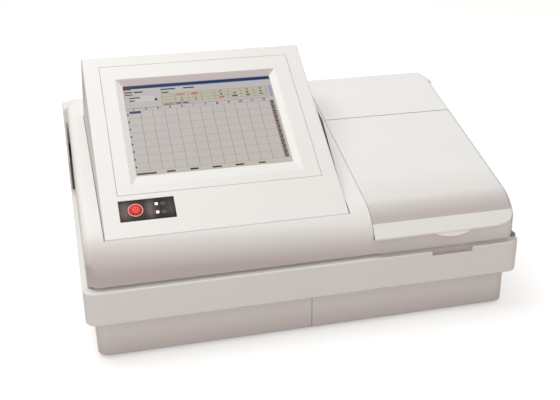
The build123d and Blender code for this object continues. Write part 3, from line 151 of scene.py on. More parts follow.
class NodeBoard:
    """A node tree, whose nodes all come from its method node."""

    def __init__(self, tree):
        self.tree = tree

    def node(self, kind, settings=None, inputs=None, output=0):
        """Adds a node: settings first, then values or links; gives one output as a Reading."""
        made = self.tree.nodes.new(kind)
        for key, value in (settings or {}).items():
            if key == "stops":
                self.set_stops(made.color_ramp, value)
            else:
                setattr(made, key, value)
        for key, value in (inputs or {}).items():
            if isinstance(value, Reading):
                self.tree.links.new(value.socket, made.inputs[key])
            else:
                made.inputs[key].default_value = value
        return None if output is None else Reading(self, made.outputs[output])

    @staticmethod
    def set_stops(ramp, stops):
        while len(ramp.elements) < len(stops):
            ramp.elements.new(1.0)
        for element, (position, colour) in zip(ramp.elements, stops):
            element.position = position
            element.color = colour

    def ramp(self, value, stops):
        return self.node("ShaderNodeValToRGB", {"stops": stops}, {"Fac": value})

    def levels(self, value, stops):
        """Number that follows stops of (place, level) along a value."""
        return self.ramp(value, [(place, (level, level, level, 1.0)) for place, level in stops])

    def blend(self, share, first, second):
        """Colour between two colours."""
        return self.node(
            "ShaderNodeMix", {"data_type": "RGBA"}, {0: share, 6: first, 7: second}, output=2
        )


class Finish(NodeBoard):
    """One procedural material; its Principled shader is reached as finish.shader."""

    def __init__(self, name, **constants):
        self.material = bpy.data.materials.new(name)
        self.material.use_nodes = True
        super().__init__(self.material.node_tree)
        self.shader = self.tree.nodes["Principled BSDF"]
        for socket, value in constants.items():
            self.shader.inputs[socket.replace("_", " ")].default_value = value
        self.place = None

    def point(self):
        """Where the surface is, in metres of the row frame."""
        if self.place is None:
            self.place = self.node("ShaderNodeTexCoord", output="Object")
        return self.place

    def axis(self, direction):
        """Distance along a direction."""
        return self.node(
            "ShaderNodeVectorMath", {"operation": "DOT_PRODUCT"},
            {0: self.point(), 1: tuple(direction)}, output="Value",
        )

    def facing(self, direction):
        """How far the surface faces a direction, in 0 to 1."""
        normal = self.node("ShaderNodeNewGeometry", output="Normal")
        return self.node(
            "ShaderNodeVectorMath", {"operation": "DOT_PRODUCT"},
            {0: normal, 1: tuple(direction)}, output="Value",
        ).clamped()

    def seam_shade_share(self, reach=4.0 * MM, still_open=0.42, fade=0.22):
        """Share of the shade painted into narrow gaps, found by ambient occlusion."""
        open_share = self.node(
            "ShaderNodeAmbientOcclusion", {"samples": 6}, {"Distance": reach}, output="AO"
        )
        return ((still_open - open_share) / fade).clamped()

    def box_share(self, low, high):
        """Whether the surface lies in a box, as 0 or 1."""
        share = None
        for direction, floor, roof in zip(((1, 0, 0), (0, 1, 0), (0, 0, 1)), low, high):
            place = self.axis(direction)
            within = (place > floor) * (place < roof)
            share = within if share is None else share * within
        return share

    def wall_shade_share(self, low, high, direction):
        """Share of the shade painted on a wall in a box that faces a direction."""
        return self.box_share(low, high) * (self.facing(direction) * 2.0).clamped()

    def cheek_shade_share(self, direction):
        """Share of the shade painted on faces that look well towards a direction."""
        return (self.facing(direction) * 3.0 - 0.6).clamped()

    def nose_shade_share(self, foot, low, high, tilt=0.0):
        """Share of the shade painted on a rounded front's foot: full at low, none at high or under
        the foot.

        With a tilt, the shade reaches higher towards the left.
        """
        fade = ((high - self.axis((tilt, 0, 1))) / (high - low)).clamped()
        front = (self.facing((0, -1, 0)) * 2.0).clamped()
        return fade * (self.axis((0, 0, 1)) > foot) * front

    def noise(self, scale, detail=2.0, roughness=0.5, stretch=(1, 1, 1)):
        """Soft noise, in 0 to 1; a small stretch along an axis draws it out that way."""
        spot = self.node(
            "ShaderNodeVectorMath", {"operation": "MULTIPLY"}, {0: self.point(), 1: stretch}
        )
        return self.node(
            "ShaderNodeTexNoise", {},
            {"Vector": spot, "Scale": scale, "Detail": detail, "Roughness": roughness},
        )

    def cells(self, scale, output="Distance"):
        """Distance to the nearest of scattered cells, or that cell's colour."""
        return self.node(
            "ShaderNodeTexVoronoi", {"feature": "F1"},
            {"Vector": self.point(), "Scale": scale}, output=output,
        )

    def feed(self, socket, value):
        self.tree.links.new(value.socket, self.shader.inputs[socket])

    def relief(self, height, distance, strength=1.0, edge=None):
        """Bump from a height in 0 to 1 over a real distance, on softened edges if edge is given."""
        inputs = {"Height": height, "Strength": strength, "Distance": distance}
        if edge:
            inputs["Normal"] = self.node("ShaderNodeBevel", {"samples": 4}, {"Radius": edge})
        self.feed("Normal", self.node("ShaderNodeBump", {}, inputs))


# ---------------------------------------------------------------- finishes
def tinted(colour, shares):
    """A colour whose red, green and blue are each made darker or lighter by a share."""
    return tuple(min(1.0, part * share) for part, share in zip(colour, shares)) + (1.0,)


def shade(colour, share):
    """A colour made darker or lighter by a share."""
    return tinted(colour, (share, share, share))


def moulded(name, colour, roughness=0.42, edge=0.8 * MM, seam=DARK_SEAM_SHADE, shades=()):
    """Fine-textured moulded plastic: spark-eroded grain, slight mottle, softened edges and shade
    painted into narrow gaps.

    Each of the shades is a share method of Finish, its values, and the colour's shares there; they
    paint shade, or on the finger tab a highlight.
    """
    finish = Finish(name, Specular_IOR_Level=0.45)
    broad = finish.noise(9.0, 3.0, 0.55)
    body = finish.blend(broad, shade(colour, 0.965), shade(colour, 1.02))
    # Painted shades, and the painted highlight on the finger tab.
    for share, values, kept in shades:
        body = finish.blend(share(finish, *values), body, tinted(colour, kept))
    # Painted shade in narrow gaps.
    finish.feed("Base Color", finish.blend(finish.seam_shade_share(), body, shade(colour, seam)))
    fine = finish.noise(2600.0, 2.0, 0.6)
    pits = finish.cells(1500.0)
    finish.feed("Roughness", (fine * 0.12 + broad * 0.06 + (roughness - 0.09)).clamped())
    finish.relief(fine * 0.6 + pits * 0.4, 0.03 * MM, 0.55, edge)
    return finish.material



def satin(name, colour, roughness=0.3, edge=0.5 * MM):
    """Smooth satin plastic with faint flow lines."""
    finish = Finish(name, Specular_IOR_Level=0.5)
    flow = finish.noise(60.0, 3.0, 0.6, (1.0, 0.25, 1.0))
    finish.feed("Base Color", finish.blend(flow, shade(colour, 0.95), shade(colour, 1.04)))
    finish.feed("Roughness", flow * 0.12 + (roughness - 0.06))
    finish.relief(finish.noise(900.0, 2.0), 0.008 * MM, 0.5, edge)
    return finish.material


def rubber(name, colour):
    """Matt rubber with a little dust."""
    finish = Finish(name, Specular_IOR_Level=0.3)
    dust = finish.noise(120.0, 4.0, 0.65)
    finish.feed("Base Color", finish.blend(dust, colour, shade(colour, 1.7)))
    finish.feed("Roughness", dust * 0.15 + 0.68)
    finish.relief(finish.noise(1800.0, 3.0), 0.05 * MM, 0.6)
    return finish.material


def brushed(name, colour, roughness, stretch, edge=0.3 * MM):
    """Metal with fine lines along one direction."""
    finish = Finish(name, Metallic=1.0)
    lines = finish.noise(700.0, 3.0, 0.7, stretch)
    finish.feed("Base Color", finish.blend(lines, shade(colour, 0.86), shade(colour, 1.08)))
    finish.feed("Roughness", lines * 0.16 + (roughness - 0.08))
    finish.relief(lines, 0.01 * MM, 0.5, edge)
    return finish.material


def galvanised(name, colour):
    """Zinc-coated sheet with faint spangle."""
    finish = Finish(name, Metallic=1.0)
    flakes = finish.cells(160.0, output="Color")
    grey = finish.node("ShaderNodeRGBToBW", {}, {"Color": flakes})
    finish.feed("Base Color", finish.blend(grey, shade(colour, 0.84), shade(colour, 1.05)))
    finish.feed("Roughness", grey * 0.14 + 0.3)
    finish.relief(finish.noise(420.0, 3.0), 0.012 * MM, 0.6, 0.3 * MM)
    return finish.material


def powder_coat(name, colour, roughness=0.5):
    """Baked paint with a light orange peel."""
    finish = Finish(name, Specular_IOR_Level=0.45)
    peel = finish.noise(650.0, 2.0, 0.5)
    broad = finish.noise(14.0, 2.0)
    finish.feed("Base Color", finish.blend(broad, shade(colour, 0.94), shade(colour, 1.04)))
    finish.feed("Roughness", peel * 0.14 + (roughness - 0.07))
    finish.relief(peel, 0.04 * MM, 0.5, 0.4 * MM)
    return finish.material


def circuit_board(name, colour):
    """Solder mask with faint copper tracks and a few bare pads."""
    finish = Finish(name, Specular_IOR_Level=0.5)
    tracks = finish.node(
        "ShaderNodeTexBrick", {"offset": 0.5, "squash": 0.6},
        {"Vector": finish.point(), "Scale": 95.0, "Mortar Size": 0.035, "Mortar Smooth": 0.2,
         "Color1": (0, 0, 0, 1), "Color2": (0, 0, 0, 1), "Mortar": (1, 1, 1, 1)},
    )
    share = finish.node("ShaderNodeRGBToBW", {}, {"Color": tracks})
    pads = finish.cells(240.0) < 0.16
    mask = finish.blend(share, colour, shade(colour, 2.1))
    finish.feed("Base Color", finish.blend(pads, mask, (0.62, 0.55, 0.36, 1.0)))
    finish.feed("Metallic", pads * 0.8)
    finish.feed("Roughness", 0.34 - pads * 0.08)
    finish.relief(share * 0.6 + pads * 0.4, 0.05 * MM, 0.6)
    return finish.material


def clear_glass(name, tint, roughness=0.03, alpha=0.35):
    """Coated optical glass."""
    finish = Finish(name, Roughness=roughness, IOR=1.5, Alpha=alpha, Coat_Weight=0.6)
    sheen = finish.noise(80.0, 2.0)
    finish.feed("Base Color", finish.blend(sheen, tint, shade(tint, 0.88)))
    return finish.material


def lit(name, colour, strength=1.0, base=0.01, roughness=0.24, cell=0.22 * MM):
    """Glowing screen area, with the faint grid of its cells."""
    finish = Finish(
        name, Roughness=roughness, Emission_Strength=strength, Specular_IOR_Level=0.1,
        Base_Color=(base, base, base, 1.0),
    )
    right = finish.axis(FACE_RIGHT / cell).fraction()
    up = finish.axis(FACE_UP / cell).fraction()
    line = 0.12
    grid = (right > line) * (up > line)
    glow = finish.noise(12.0, 2.0)
    body = finish.blend(glow, shade(colour, 0.975), shade(colour, 1.02))
    finish.feed("Emission Color", finish.blend(grid, shade(colour, 0.93), body))
    return finish.material


def key_plate(name, low_colour, sheen_colour):
    """Dark printed overlay with two soft clouds of painted sheen, a painted reflection that fades
    dark towards its edges.
    """
    finish = Finish(name, Specular_IOR_Level=0.12, Coat_Weight=0.04, Coat_Roughness=0.2)
    low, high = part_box("control_panel")
    bottom = FACE_UP.dot(Vector((0, low.y, low.z)))
    top = FACE_UP.dot(Vector((0, high.y, high.z)))
    up = ((finish.axis(FACE_UP) - bottom) / (top - bottom)).clamped()
    along = ((finish.axis(FACE_RIGHT) - low.x) / (high.x - low.x)).clamped()
    painted_sheen = finish.levels(
        along, [(0.0, 0.45), (0.1, 0.95), (0.24, 0.4), (0.44, 0.25), (0.56, 1.0),
                (0.66, 0.3), (0.76, 0.12), (0.92, 0.42), (1.0, 0.2)],
    )
    middle = finish.levels(up, [(0.0, 0.1), (0.35, 1.0), (0.7, 0.85), (1.0, 0.1)])
    speck = finish.noise(1400.0, 2.0)
    sheen_patchiness = finish.noise(90.0, 2.0) * 0.5 + 0.75
    body = finish.blend((painted_sheen * middle * sheen_patchiness).clamped(), low_colour, sheen_colour)
    finish.feed("Base Color", body)
    finish.feed("Roughness", speck * 0.1 + 0.34)
    finish.relief(speck, 0.01 * MM, 0.4, 0.4 * MM)
    return finish.material


def glossy_key(name, colour, glow):
    """Translucent button cap with a faint glow: the status lights' own light, and on the power key
    a painted glow.
    """
    finish = Finish(
        name, Specular_IOR_Level=0.15, Coat_Weight=0.25, Coat_Roughness=0.12,
        Emission_Strength=glow,
    )
    cloud = finish.noise(300.0, 3.0)
    finish.feed("Base Color", finish.blend(cloud, shade(colour, 0.93), shade(colour, 1.04)))
    finish.feed("Emission Color", finish.blend(cloud, shade(colour, 0.9), colour))
    finish.feed("Roughness", cloud * 0.08 + 0.22)
    finish.relief(finish.noise(1500.0, 2.0), 0.006 * MM, 0.4, 0.3 * MM)
    return finish.material


def ribbed_belt(name, colour, pitch=2.0 * MM):
    """Toothed rubber belt."""
    finish = Finish(name, Specular_IOR_Level=0.3)
    tooth = finish.axis(Vector((1, 0, 0)) / pitch).fraction() > 0.5
    dust = finish.noise(200.0, 3.0)
    finish.feed("Base Color", finish.blend(dust, colour, shade(colour, 1.8)))
    finish.feed("Roughness", dust * 0.15 + 0.62)
    finish.relief(tooth, 0.35 * MM, 0.7)
    return finish.material


# ---------------------------------------------------------------- mesh helpers
def face_point(right, up, proud):
    """Point on the display's sloped face: right and up from the lit area's lower left corner."""
    return SCREEN_ORIGIN + FACE_RIGHT * right + FACE_UP * up + FACE_NORMAL * proud


def screen_corner():
    """Lower left corner of the lit area, on the front of the glass."""
    points = [v.co for v in frame["nodes"]["touch_screen"].data.vertices]
    front = max(p.dot(FACE_NORMAL) for p in points)
    low = min(p.dot(FACE_UP) for p in points) + SCREEN_MARGIN
    left = GLASS_LOW.x + SCREEN_MARGIN
    return FACE_RIGHT * left + FACE_UP * low + FACE_NORMAL * front


def screen_height():
    points = [v.co.dot(FACE_UP) for v in frame["nodes"]["touch_screen"].data.vertices]
    return max(points) - min(points) - 2 * SCREEN_MARGIN


SCREEN_ORIGIN = screen_corner()
SCREEN_WIDTH = GLASS_HIGH.x - GLASS_LOW.x - 2 * SCREEN_MARGIN
SCREEN_HEIGHT = screen_height()


def new_piece(name, made, material, body="root"):
    """Turns a bmesh into a piece that rides on a body and carries a material."""
    mesh = bpy.data.meshes.new(name)
    bmesh.ops.recalc_face_normals(made, faces=made.faces)
    made.to_mesh(mesh)
    made.free()
    piece = bpy.data.objects.new(name, mesh)
    bpy.context.scene.collection.objects.link(piece)
    mesh.materials.append(material)
    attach(piece, body)
    return piece


def add_prism(made, outline, lift):
    """Closed prism on a flat outline of points, raised by the vector lift."""
    low = [made.verts.new(p) for p in outline]
    high = [made.verts.new(p + lift) for p in outline]
    made.faces.new(low[::-1])
    made.faces.new(high)
    count = len(outline)
    for i in range(count):
        j = (i + 1) % count
        made.faces.new((low[i], low[j], high[j], high[i]))


def arc_outline(centre, radius, width, start, end, steps=28):
    """Outline of a flat arc on the display's face, between two angles from straight up."""
    angles = [start + (end - start) * i / steps for i in range(steps + 1)]
    outer = [face_offset(centre, radius + width / 2, angle) for angle in angles]
    inner = [face_offset(centre, radius - width / 2, angle) for angle in angles]
    return outer + inner[::-1]


def face_offset(centre, radius, angle):
    return centre + (FACE_RIGHT * sin(angle) + FACE_UP * cos(angle)) * radius


def node_front(name):
    """Centre of a node's foremost flat on the display's face."""
    points = [v.co for v in frame["nodes"][name].data.vertices]
    front = max(p.dot(FACE_NORMAL) for p in points)
    low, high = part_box(name)
    middle = (low + high) / 2
    return middle + FACE_NORMAL * (front - middle.dot(FACE_NORMAL))


def page_patches(name, patches, finish_name, colour, layer=0):
    """Flat areas of one colour on the screen; a patch is left, top, right and bottom in percent."""
    made = bmesh.new()
    for left, top, right, bottom in patches:
        x0 = SCREEN_WIDTH * left / 100
        x1 = SCREEN_WIDTH * right / 100
        y0 = SCREEN_HEIGHT * (1 - bottom / 100)
        y1 = SCREEN_HEIGHT * (1 - top / 100)
        corners = [(x0, y0), (x1, y0), (x1, y1), (x0, y1)]
        outline = [face_point(x, y, layer * PAGE_LAYER) for x, y in corners]
        add_prism(made, outline, FACE_NORMAL * PAGE_DEPTH)
    glow = bpy.context.scene.reader_screen.brightness
    new_piece(name, made, lit(finish_name, colour, glow))



# ---------------------------------------------------------------- sizes and colours
class ReaderShell(bpy.types.PropertyGroup):
    """Colours of the mouldings."""

    white: bpy.props.FloatVectorProperty(
        name="Shell white", description="Colour of the covers, the lid and the display housing",
        subtype="COLOR", size=4, min=0, max=1, default=(0.86, 0.848, 0.825, 1.0),
    )
    base: bpy.props.FloatVectorProperty(
        name="Base grey", description="Colour of the base tub",
        subtype="COLOR", size=4, min=0, max=1, default=(0.78, 0.755, 0.735, 1.0),
    )
    edge: bpy.props.FloatProperty(
        name="Edge softness", description="Radius that the shells' edges seem rounded by",
        subtype="DISTANCE", unit="LENGTH", min=0, max=0.005, default=0.8 * MM,
    )


class ReaderScreen(bpy.types.PropertyGroup):
    """Colours and brightness of the lit page."""

    page: bpy.props.FloatVectorProperty(
        name="Page", description="Background of the page", subtype="COLOR", size=4,
        min=0, max=1, default=linear(190, 184, 181),
    )
    title: bpy.props.FloatVectorProperty(
        name="Title bar", description="Bar across the top of the page", subtype="COLOR",
        size=4, min=0, max=1, default=linear(18, 38, 84),
    )
    brightness: bpy.props.FloatProperty(
        name="Brightness", description="Strength of the lit page", min=0, max=3, default=1.0,
    )


class ReaderStudio(bpy.types.PropertyGroup):
    """Light levels and the camera's lens."""

    world: bpy.props.FloatProperty(
        name="Sky level", description="Strength of the even light from all round",
        min=0, max=3, default=0.62,
    )
    key: bpy.props.FloatProperty(
        name="Key light", description="Power of the soft lamp above and to the left",
        subtype="POWER", unit="POWER", min=0, max=500, default=14.0,
    )
    lens: bpy.props.FloatProperty(
        name="Lens", description="Focal length on a 36 mm wide sensor", subtype="DISTANCE_CAMERA",
        min=10, max=200, default=57.5,
    )


# ---------------------------------------------------------------- operators
def dress(names, material):
    """Gives CAD nodes one finish."""
    for name in names:
        mesh = frame["nodes"][name].data
        mesh.materials.clear()
        mesh.materials.append(material)


class ReaderShells(bpy.types.Operator):
    """Finish the covers, the lid, the display housing and the base"""

    bl_idname = "reader.shells"
    bl_label = "Shells"

    # The finger tab's place, and the height of the highlight painted on it.
    tab_offset = 88.5 * MM          # finger tab's centre from the lid's left side
    tab_drop = 4.0 * MM
    box_spare = 1.0 * MM            # room that a shaded box takes round its piece
    # Size of the finger notch, inside which shade is painted.
    notch_width = 46.6 * MM
    notch_depth = 4.6 * MM
    notch_height = 4.6 * MM
    notch_skin = 0.1 * MM
    # Reach of the box in the slot where shade is painted on the walls.
    slot_reach = 12.0 * MM          # slot's box to the left of the display's right side
    slot_start = 30.0 * MM
    slot_above = 100.0 * MM
    # Heights over which the shade painted on the fronts' and the skirts' feet fades out.
    cover_fade = (4.0 * MM, 40.0 * MM)
    cover_tilt = 0.085
    lid_crease = 18.6 * MM          # above the lid's foot
    lid_fade = (24.0 * MM, 47.0 * MM)
    skirt_fade = (-14.0 * MM, 28.0 * MM)

    def tab_middle(self):
        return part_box("lid")[0].x + self.tab_offset

    def notch_space(self):
        """Box of the finger notch in the band's front edge, a hair inside its faces, where shade is
        painted.
        """
        low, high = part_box("middle_band")
        left = self.tab_middle() - self.notch_width / 2
        return (
            (left, low.y + self.notch_skin, high.z - self.notch_height),
            (left + self.notch_width, low.y + self.notch_depth, high.z - self.notch_skin),
        )

    def slot_space(self):
        """Box of the slot between the display and the lid, where shade is painted on the walls."""
        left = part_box("display_housing")[1].x - self.slot_reach
        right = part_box("lid")[0].x - self.box_spare
        low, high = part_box("upper_cover")
        return (
            (left, low.y + self.slot_start, low.z + self.slot_start),
            (right, CAD_BOX[1][1], high.z + self.slot_above),
        )

    def tab_space(self):
        """Box of the finger tab under the lid's lip, where a highlight is painted."""
        low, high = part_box("lid")
        left = self.tab_middle() - self.notch_width / 2
        return (
            (left, low.y - self.box_spare, low.z - self.box_spare),
            (left + self.notch_width, high.y, low.z + self.tab_drop),
        )

    def execute(self, context):
        look = context.scene.reader_shell
        white = tuple(look.white)
        # Painted shade on the slot's walls.
        slot = (Finish.wall_shade_share, (*self.slot_space(), (-1, 0, 0)), SLOT_SHADE)
        # Painted shade inside the finger notch.
        notch = (Finish.box_share, self.notch_space(), NOTCH_SHADE)
        # Painted highlight on the finger tab.
        tab = (Finish.box_share, self.tab_space(), TAB_PAINTED_HIGHLIGHT)
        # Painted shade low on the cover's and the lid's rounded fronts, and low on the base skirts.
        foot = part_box("upper_cover")[0].z
        cover_rise = (foot, *(foot + rise for rise in self.cover_fade), self.cover_tilt)
        cover_nose = (Finish.nose_shade_share, cover_rise, NOSE_SHADE)
        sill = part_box("lid")[0].z
        lid_rise = (sill + self.lid_crease, *(sill + rise for rise in self.lid_fade))
        lid_nose = (Finish.nose_shade_share, lid_rise, NOSE_SHADE)
        skirt_foot = (Finish.nose_shade_share, (-1.0 * MM, *self.skirt_fade), NOSE_SHADE)
        # Painted shade on the display housing's left side and on the top of the bezel's recess.
        cheek = (Finish.cheek_shade_share, ((-1, 0, 0),), CHEEK_SHADE)
        recess = (Finish.cheek_shade_share, (tuple(-FACE_UP),), CHEEK_SHADE)
        # Columns: names, finish, colour, roughness, share kept in the shade painted into gaps, and
        # the painted shades.
        for names, finish_name, colour, roughness, seam, shades in (
            (("rear_top_cover", "rear_housing"), "shell_white", white, 0.42, DARK_SEAM_SHADE, [slot]),
            (("middle_band",), "band_white", white, 0.42, LEDGE_SEAM_SHADE, [notch]),
            (("upper_cover",), "cover_white", white, 0.42, DARK_SEAM_SHADE, [cover_nose, slot]),
            (("lid",), "lid_white", white, 0.42, DARK_SEAM_SHADE, [lid_nose, tab]),
            (("display_housing",), "display_white", white, 0.38, SOFT_SEAM_SHADE, [cheek]),
            (("display_bezel",), "bezel_white", white, 0.38, SOFT_SEAM_SHADE, [recess]),
            (("base_skirt_left", "base_skirt_right"), "base_grey", tuple(look.base), 0.48,
             DARK_SEAM_SHADE, [skirt_foot]),
        ):
            dress(names, moulded(finish_name, colour, roughness, look.edge, seam, shades))
        dress(["rubber_feet"], rubber("foot_rubber", (0.03, 0.03, 0.03, 1.0)))
        # The grip pads' dark brown stands in for the shade deep in the grip pocket: painted shade.
        dress(["grip_pads"], satin("grip_pocket_shade", (0.095, 0.072, 0.066, 1.0), 0.5))
        # The side rail's dark taupe also stands in for the shade at the band's right front corner:
        # painted shade.
        dress(["side_rail"], satin("rail_taupe", (0.30, 0.255, 0.24, 1.0), 0.45))
        dress(["bay_liner"], satin("bay_dark", (0.07, 0.066, 0.066, 1.0), 0.5))
        dress(["rear_panel"], powder_coat("panel_paint", (0.70, 0.68, 0.66, 1.0)))
        return {"FINISHED"}


class ReaderPage(bpy.types.Operator):
    """Lay out the lit page on the touch screen"""

    bl_idname = "reader.page"
    bl_label = "Screen page"

    columns = 12
    rows = 8
    grid_left = 0.7                 # places on the page are in percent, from its top left
    grid_top = 29.2
    column_pitch = 7.93
    row_pitch = 8.24
    column_line = 0.22              # half widths of the lines
    row_line = 0.16
    list_lines = 34
    list_pitch = 1.9
    table_left = 24.0
    table_right = 96.0
    table_rows = (12.0, 15.2, 18.8, 22.6)
    table_cells = 8
    table_pitch = 8.95
    table_gap = 0.3
    table_line = 0.14
    number_size = 4.0 * MM
    number_bold = 0.14 * MM
    number_depth = 0.03 * MM
    number_lift = 0.09 * MM
    number_foot = 28.6

    # Each area is a piece, its finish, its colour, its layer and its patches.
    bars = (
        ("page_title_glow", "title_pale", (150, 172, 206), 1, [(22.0, 3.6, 100.0, 4.6)]),
        ("page_toolbar", "toolbar_grey", (186, 180, 181), 0, [(0.0, 3.6, 100.0, 25.2)]),
        ("page_buttons", "button_beige", (192, 185, 172), 0, [(0.0, 95.4, 100.0, 100.0)]),
    )
    table_marks = (
        ("page_red", "mark_red", (190, 92, 78), 3, [
            (34.2, 13.2, 39.8, 14.4), (44.2, 13.0, 48.6, 14.9), (62.4, 20.0, 66.0, 21.6),
        ]),
        ("page_blue", "mark_blue", (76, 74, 108), 3, [
            (33.2, 23.4, 36.4, 24.7), (37.8, 23.4, 41.2, 24.7), (71.5, 19.6, 75.2, 21.4),
        ]),
        ("page_specks", "speck_dark", (84, 76, 70), 3, [
            (63.6, 16.4, 65.0, 18.2), (81.6, 16.4, 83.0, 18.2), (90.9, 16.4, 92.2, 18.2),
            (63.6, 13.0, 64.8, 14.4), (81.8, 13.0, 83.0, 14.4), (90.9, 13.0, 92.2, 14.4),
            (81.2, 19.8, 83.6, 21.4), (36.8, 20.0, 38.2, 21.2), (46.0, 20.0, 47.4, 21.2),
            (72.6, 16.6, 74.6, 17.8), (36.8, 17.0, 37.8, 17.9), (46.2, 17.0, 47.2, 17.9),
            (25.2, 24.0, 30.4, 24.8), (90.0, 20.0, 93.0, 20.9),
        ]),
    )
    # Short bars where the page has words, fields and a drop-down box.
    words = (
        ("page_words", "word_dark", (52, 44, 46), 2, [
            (0.3, 6.8, 5.4, 8.2), (6.6, 6.9, 12.4, 8.4), (24.4, 5.8, 34.2, 7.2),
            (39.6, 5.8, 47.2, 7.2), (0.3, 9.8, 5.6, 10.9), (24.6, 9.6, 29.4, 10.8),
            (2.8, 13.6, 10.2, 14.9), (2.8, 16.9, 5.8, 18.2), (19.4, 16.4, 21.2, 18.9),
            (0.2, 97.4, 12.4, 99.0), (18.8, 97.2, 24.2, 98.8), (33.6, 97.0, 38.8, 98.8),
            (47.8, 97.2, 53.6, 98.8), (62.6, 97.2, 68.2, 98.8), (77.8, 97.4, 82.4, 98.8),
        ]),
        ("page_fields", "field_pale", (198, 192, 190), 1, [
            (3.0, 12.7, 19.2, 15.5), (7.0, 16.2, 19.2, 19.0),
        ]),
        ("page_icons", "icon_dark", (70, 48, 54), 1, [
            (0.0, 0.0, 4.8, 4.6), (97.4, 0.2, 99.8, 3.2),
        ]),
    )

    def execute(self, context):
        look = context.scene.reader_screen
        page = lit("page_background", tuple(look.page), look.brightness)
        dress(["touch_screen"], page)
        dress(["lcd_panel"], satin("cell_frame", (0.1, 0.1, 0.11, 1.0)))
        page_patches("page_title", [(0.0, 0.0, 100.0, 3.6)], "title_blue", tuple(look.title))
        self.lay(self.bars)
        self.lay(self.plate_grid())
        self.numbers(look)
        self.lay(self.table())
        self.lay(self.table_marks)
        self.lay(self.words)
        return {"FINISHED"}

    def lay(self, areas):
        for name, finish_name, colour, layer, patches in areas:
            page_patches(name, patches, finish_name, linear(*colour), layer)

    def plate_grid(self):
        """Areas of the plate's grid, with the row marks and the list beside it."""
        x0, y0 = self.grid_left, self.grid_top
        x1 = x0 + self.columns * self.column_pitch
        y1 = y0 + self.rows * self.row_pitch
        edges = [x0 + i * self.column_pitch for i in range(1, self.columns + 1)]
        upright = [(x - self.column_line, y0, x + self.column_line, y1) for x in edges]
        edges = [y0 + i * self.row_pitch for i in range(self.rows + 1)]
        level = [(x0, y - self.row_line, x1, y + self.row_line) for y in edges]
        middles = [y0 + (i + 0.5) * self.row_pitch for i in range(self.rows)]
        marks = [(0.0, middle - 1.0, 0.9, middle + 0.8) for middle in middles]
        for i in range(self.list_lines):
            top = y0 + 0.8 + i * self.list_pitch
            marks.append((96.2 + 0.4 * (i % 2), top, 98.6 - 0.5 * (i % 3), top + 1.2))
        heading = [(0.0, 26.1, 24.0, 26.6), (24.0, 25.3, 96.0, 25.7)]
        return (
            ("page_columns", "line_tan", (168, 150, 128), 0, upright),
            ("page_rows", "line_grey", (164, 156, 153), 1, level),
            ("page_list", "list_taupe", (150, 138, 134), 1, [(96.0, y0 - 0.6, 98.8, y1)]),
            ("page_heading", "heading_dark", (120, 112, 108), 1, heading),
            ("page_selected", "cell_blue", (58, 54, 96), 2, [(1.5, 29.6, 9.0, 32.2)]),
            ("page_marks", "mark_dark", (62, 52, 50), 2, marks),
        )

    def numbers(self, look):
        """Column numbers over the plate grid."""
        material = lit("number_dark", linear(34, 30, 32), look.brightness)
        turn = Matrix((FACE_RIGHT, FACE_UP, FACE_NORMAL)).transposed().to_4x4()
        up = SCREEN_HEIGHT * (1 - self.number_foot / 100)
        for i in range(self.columns):
            words = bpy.data.curves.new(f"page_number_{i + 1}", "FONT")
            words.body = str(i + 1)
            words.size = self.number_size
            words.offset = self.number_bold
            words.align_x = "CENTER"
            words.extrude = self.number_depth
            piece = bpy.data.objects.new(words.name, words)
            bpy.context.scene.collection.objects.link(piece)
            right = SCREEN_WIDTH * (self.grid_left + (i + 0.5) * self.column_pitch) / 100
            place = face_point(right, up, self.number_lift)
            piece.matrix_world = Matrix.Translation(place) @ turn
            words.materials.append(material)
            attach(piece, "root")

    def table(self):
        """Areas of the small table at the upper right, with its foot and scroll bar."""
        top, foot = self.table_rows[0], self.table_rows[-1]
        edges = [self.table_left + i * self.table_pitch for i in range(self.table_cells + 1)]
        cells = [
            (left + self.table_gap, top, right, foot) for left, right in zip(edges, edges[1:])
        ]
        line = self.table_line
        rules = [(self.table_left, y - line, self.table_right, y + line) for y in self.table_rows]
        middles = [edge + self.table_gap / 2 for edge in edges]
        rules += [(x - line, top, x + line, foot) for x in middles]
        return (
            ("page_table", "table_olive", (184, 178, 162), 1, cells),
            ("page_table_foot", "table_green", (160, 158, 138), 1, [(24.3, 22.8, 41.6, 25.0)]),
            ("page_scroll", "scroll_blue", (150, 154, 174), 1, [(97.4, 11.0, 99.4, 25.0)]),
            ("page_table_rules", "rule_olive", (134, 130, 104), 2, rules),
        )



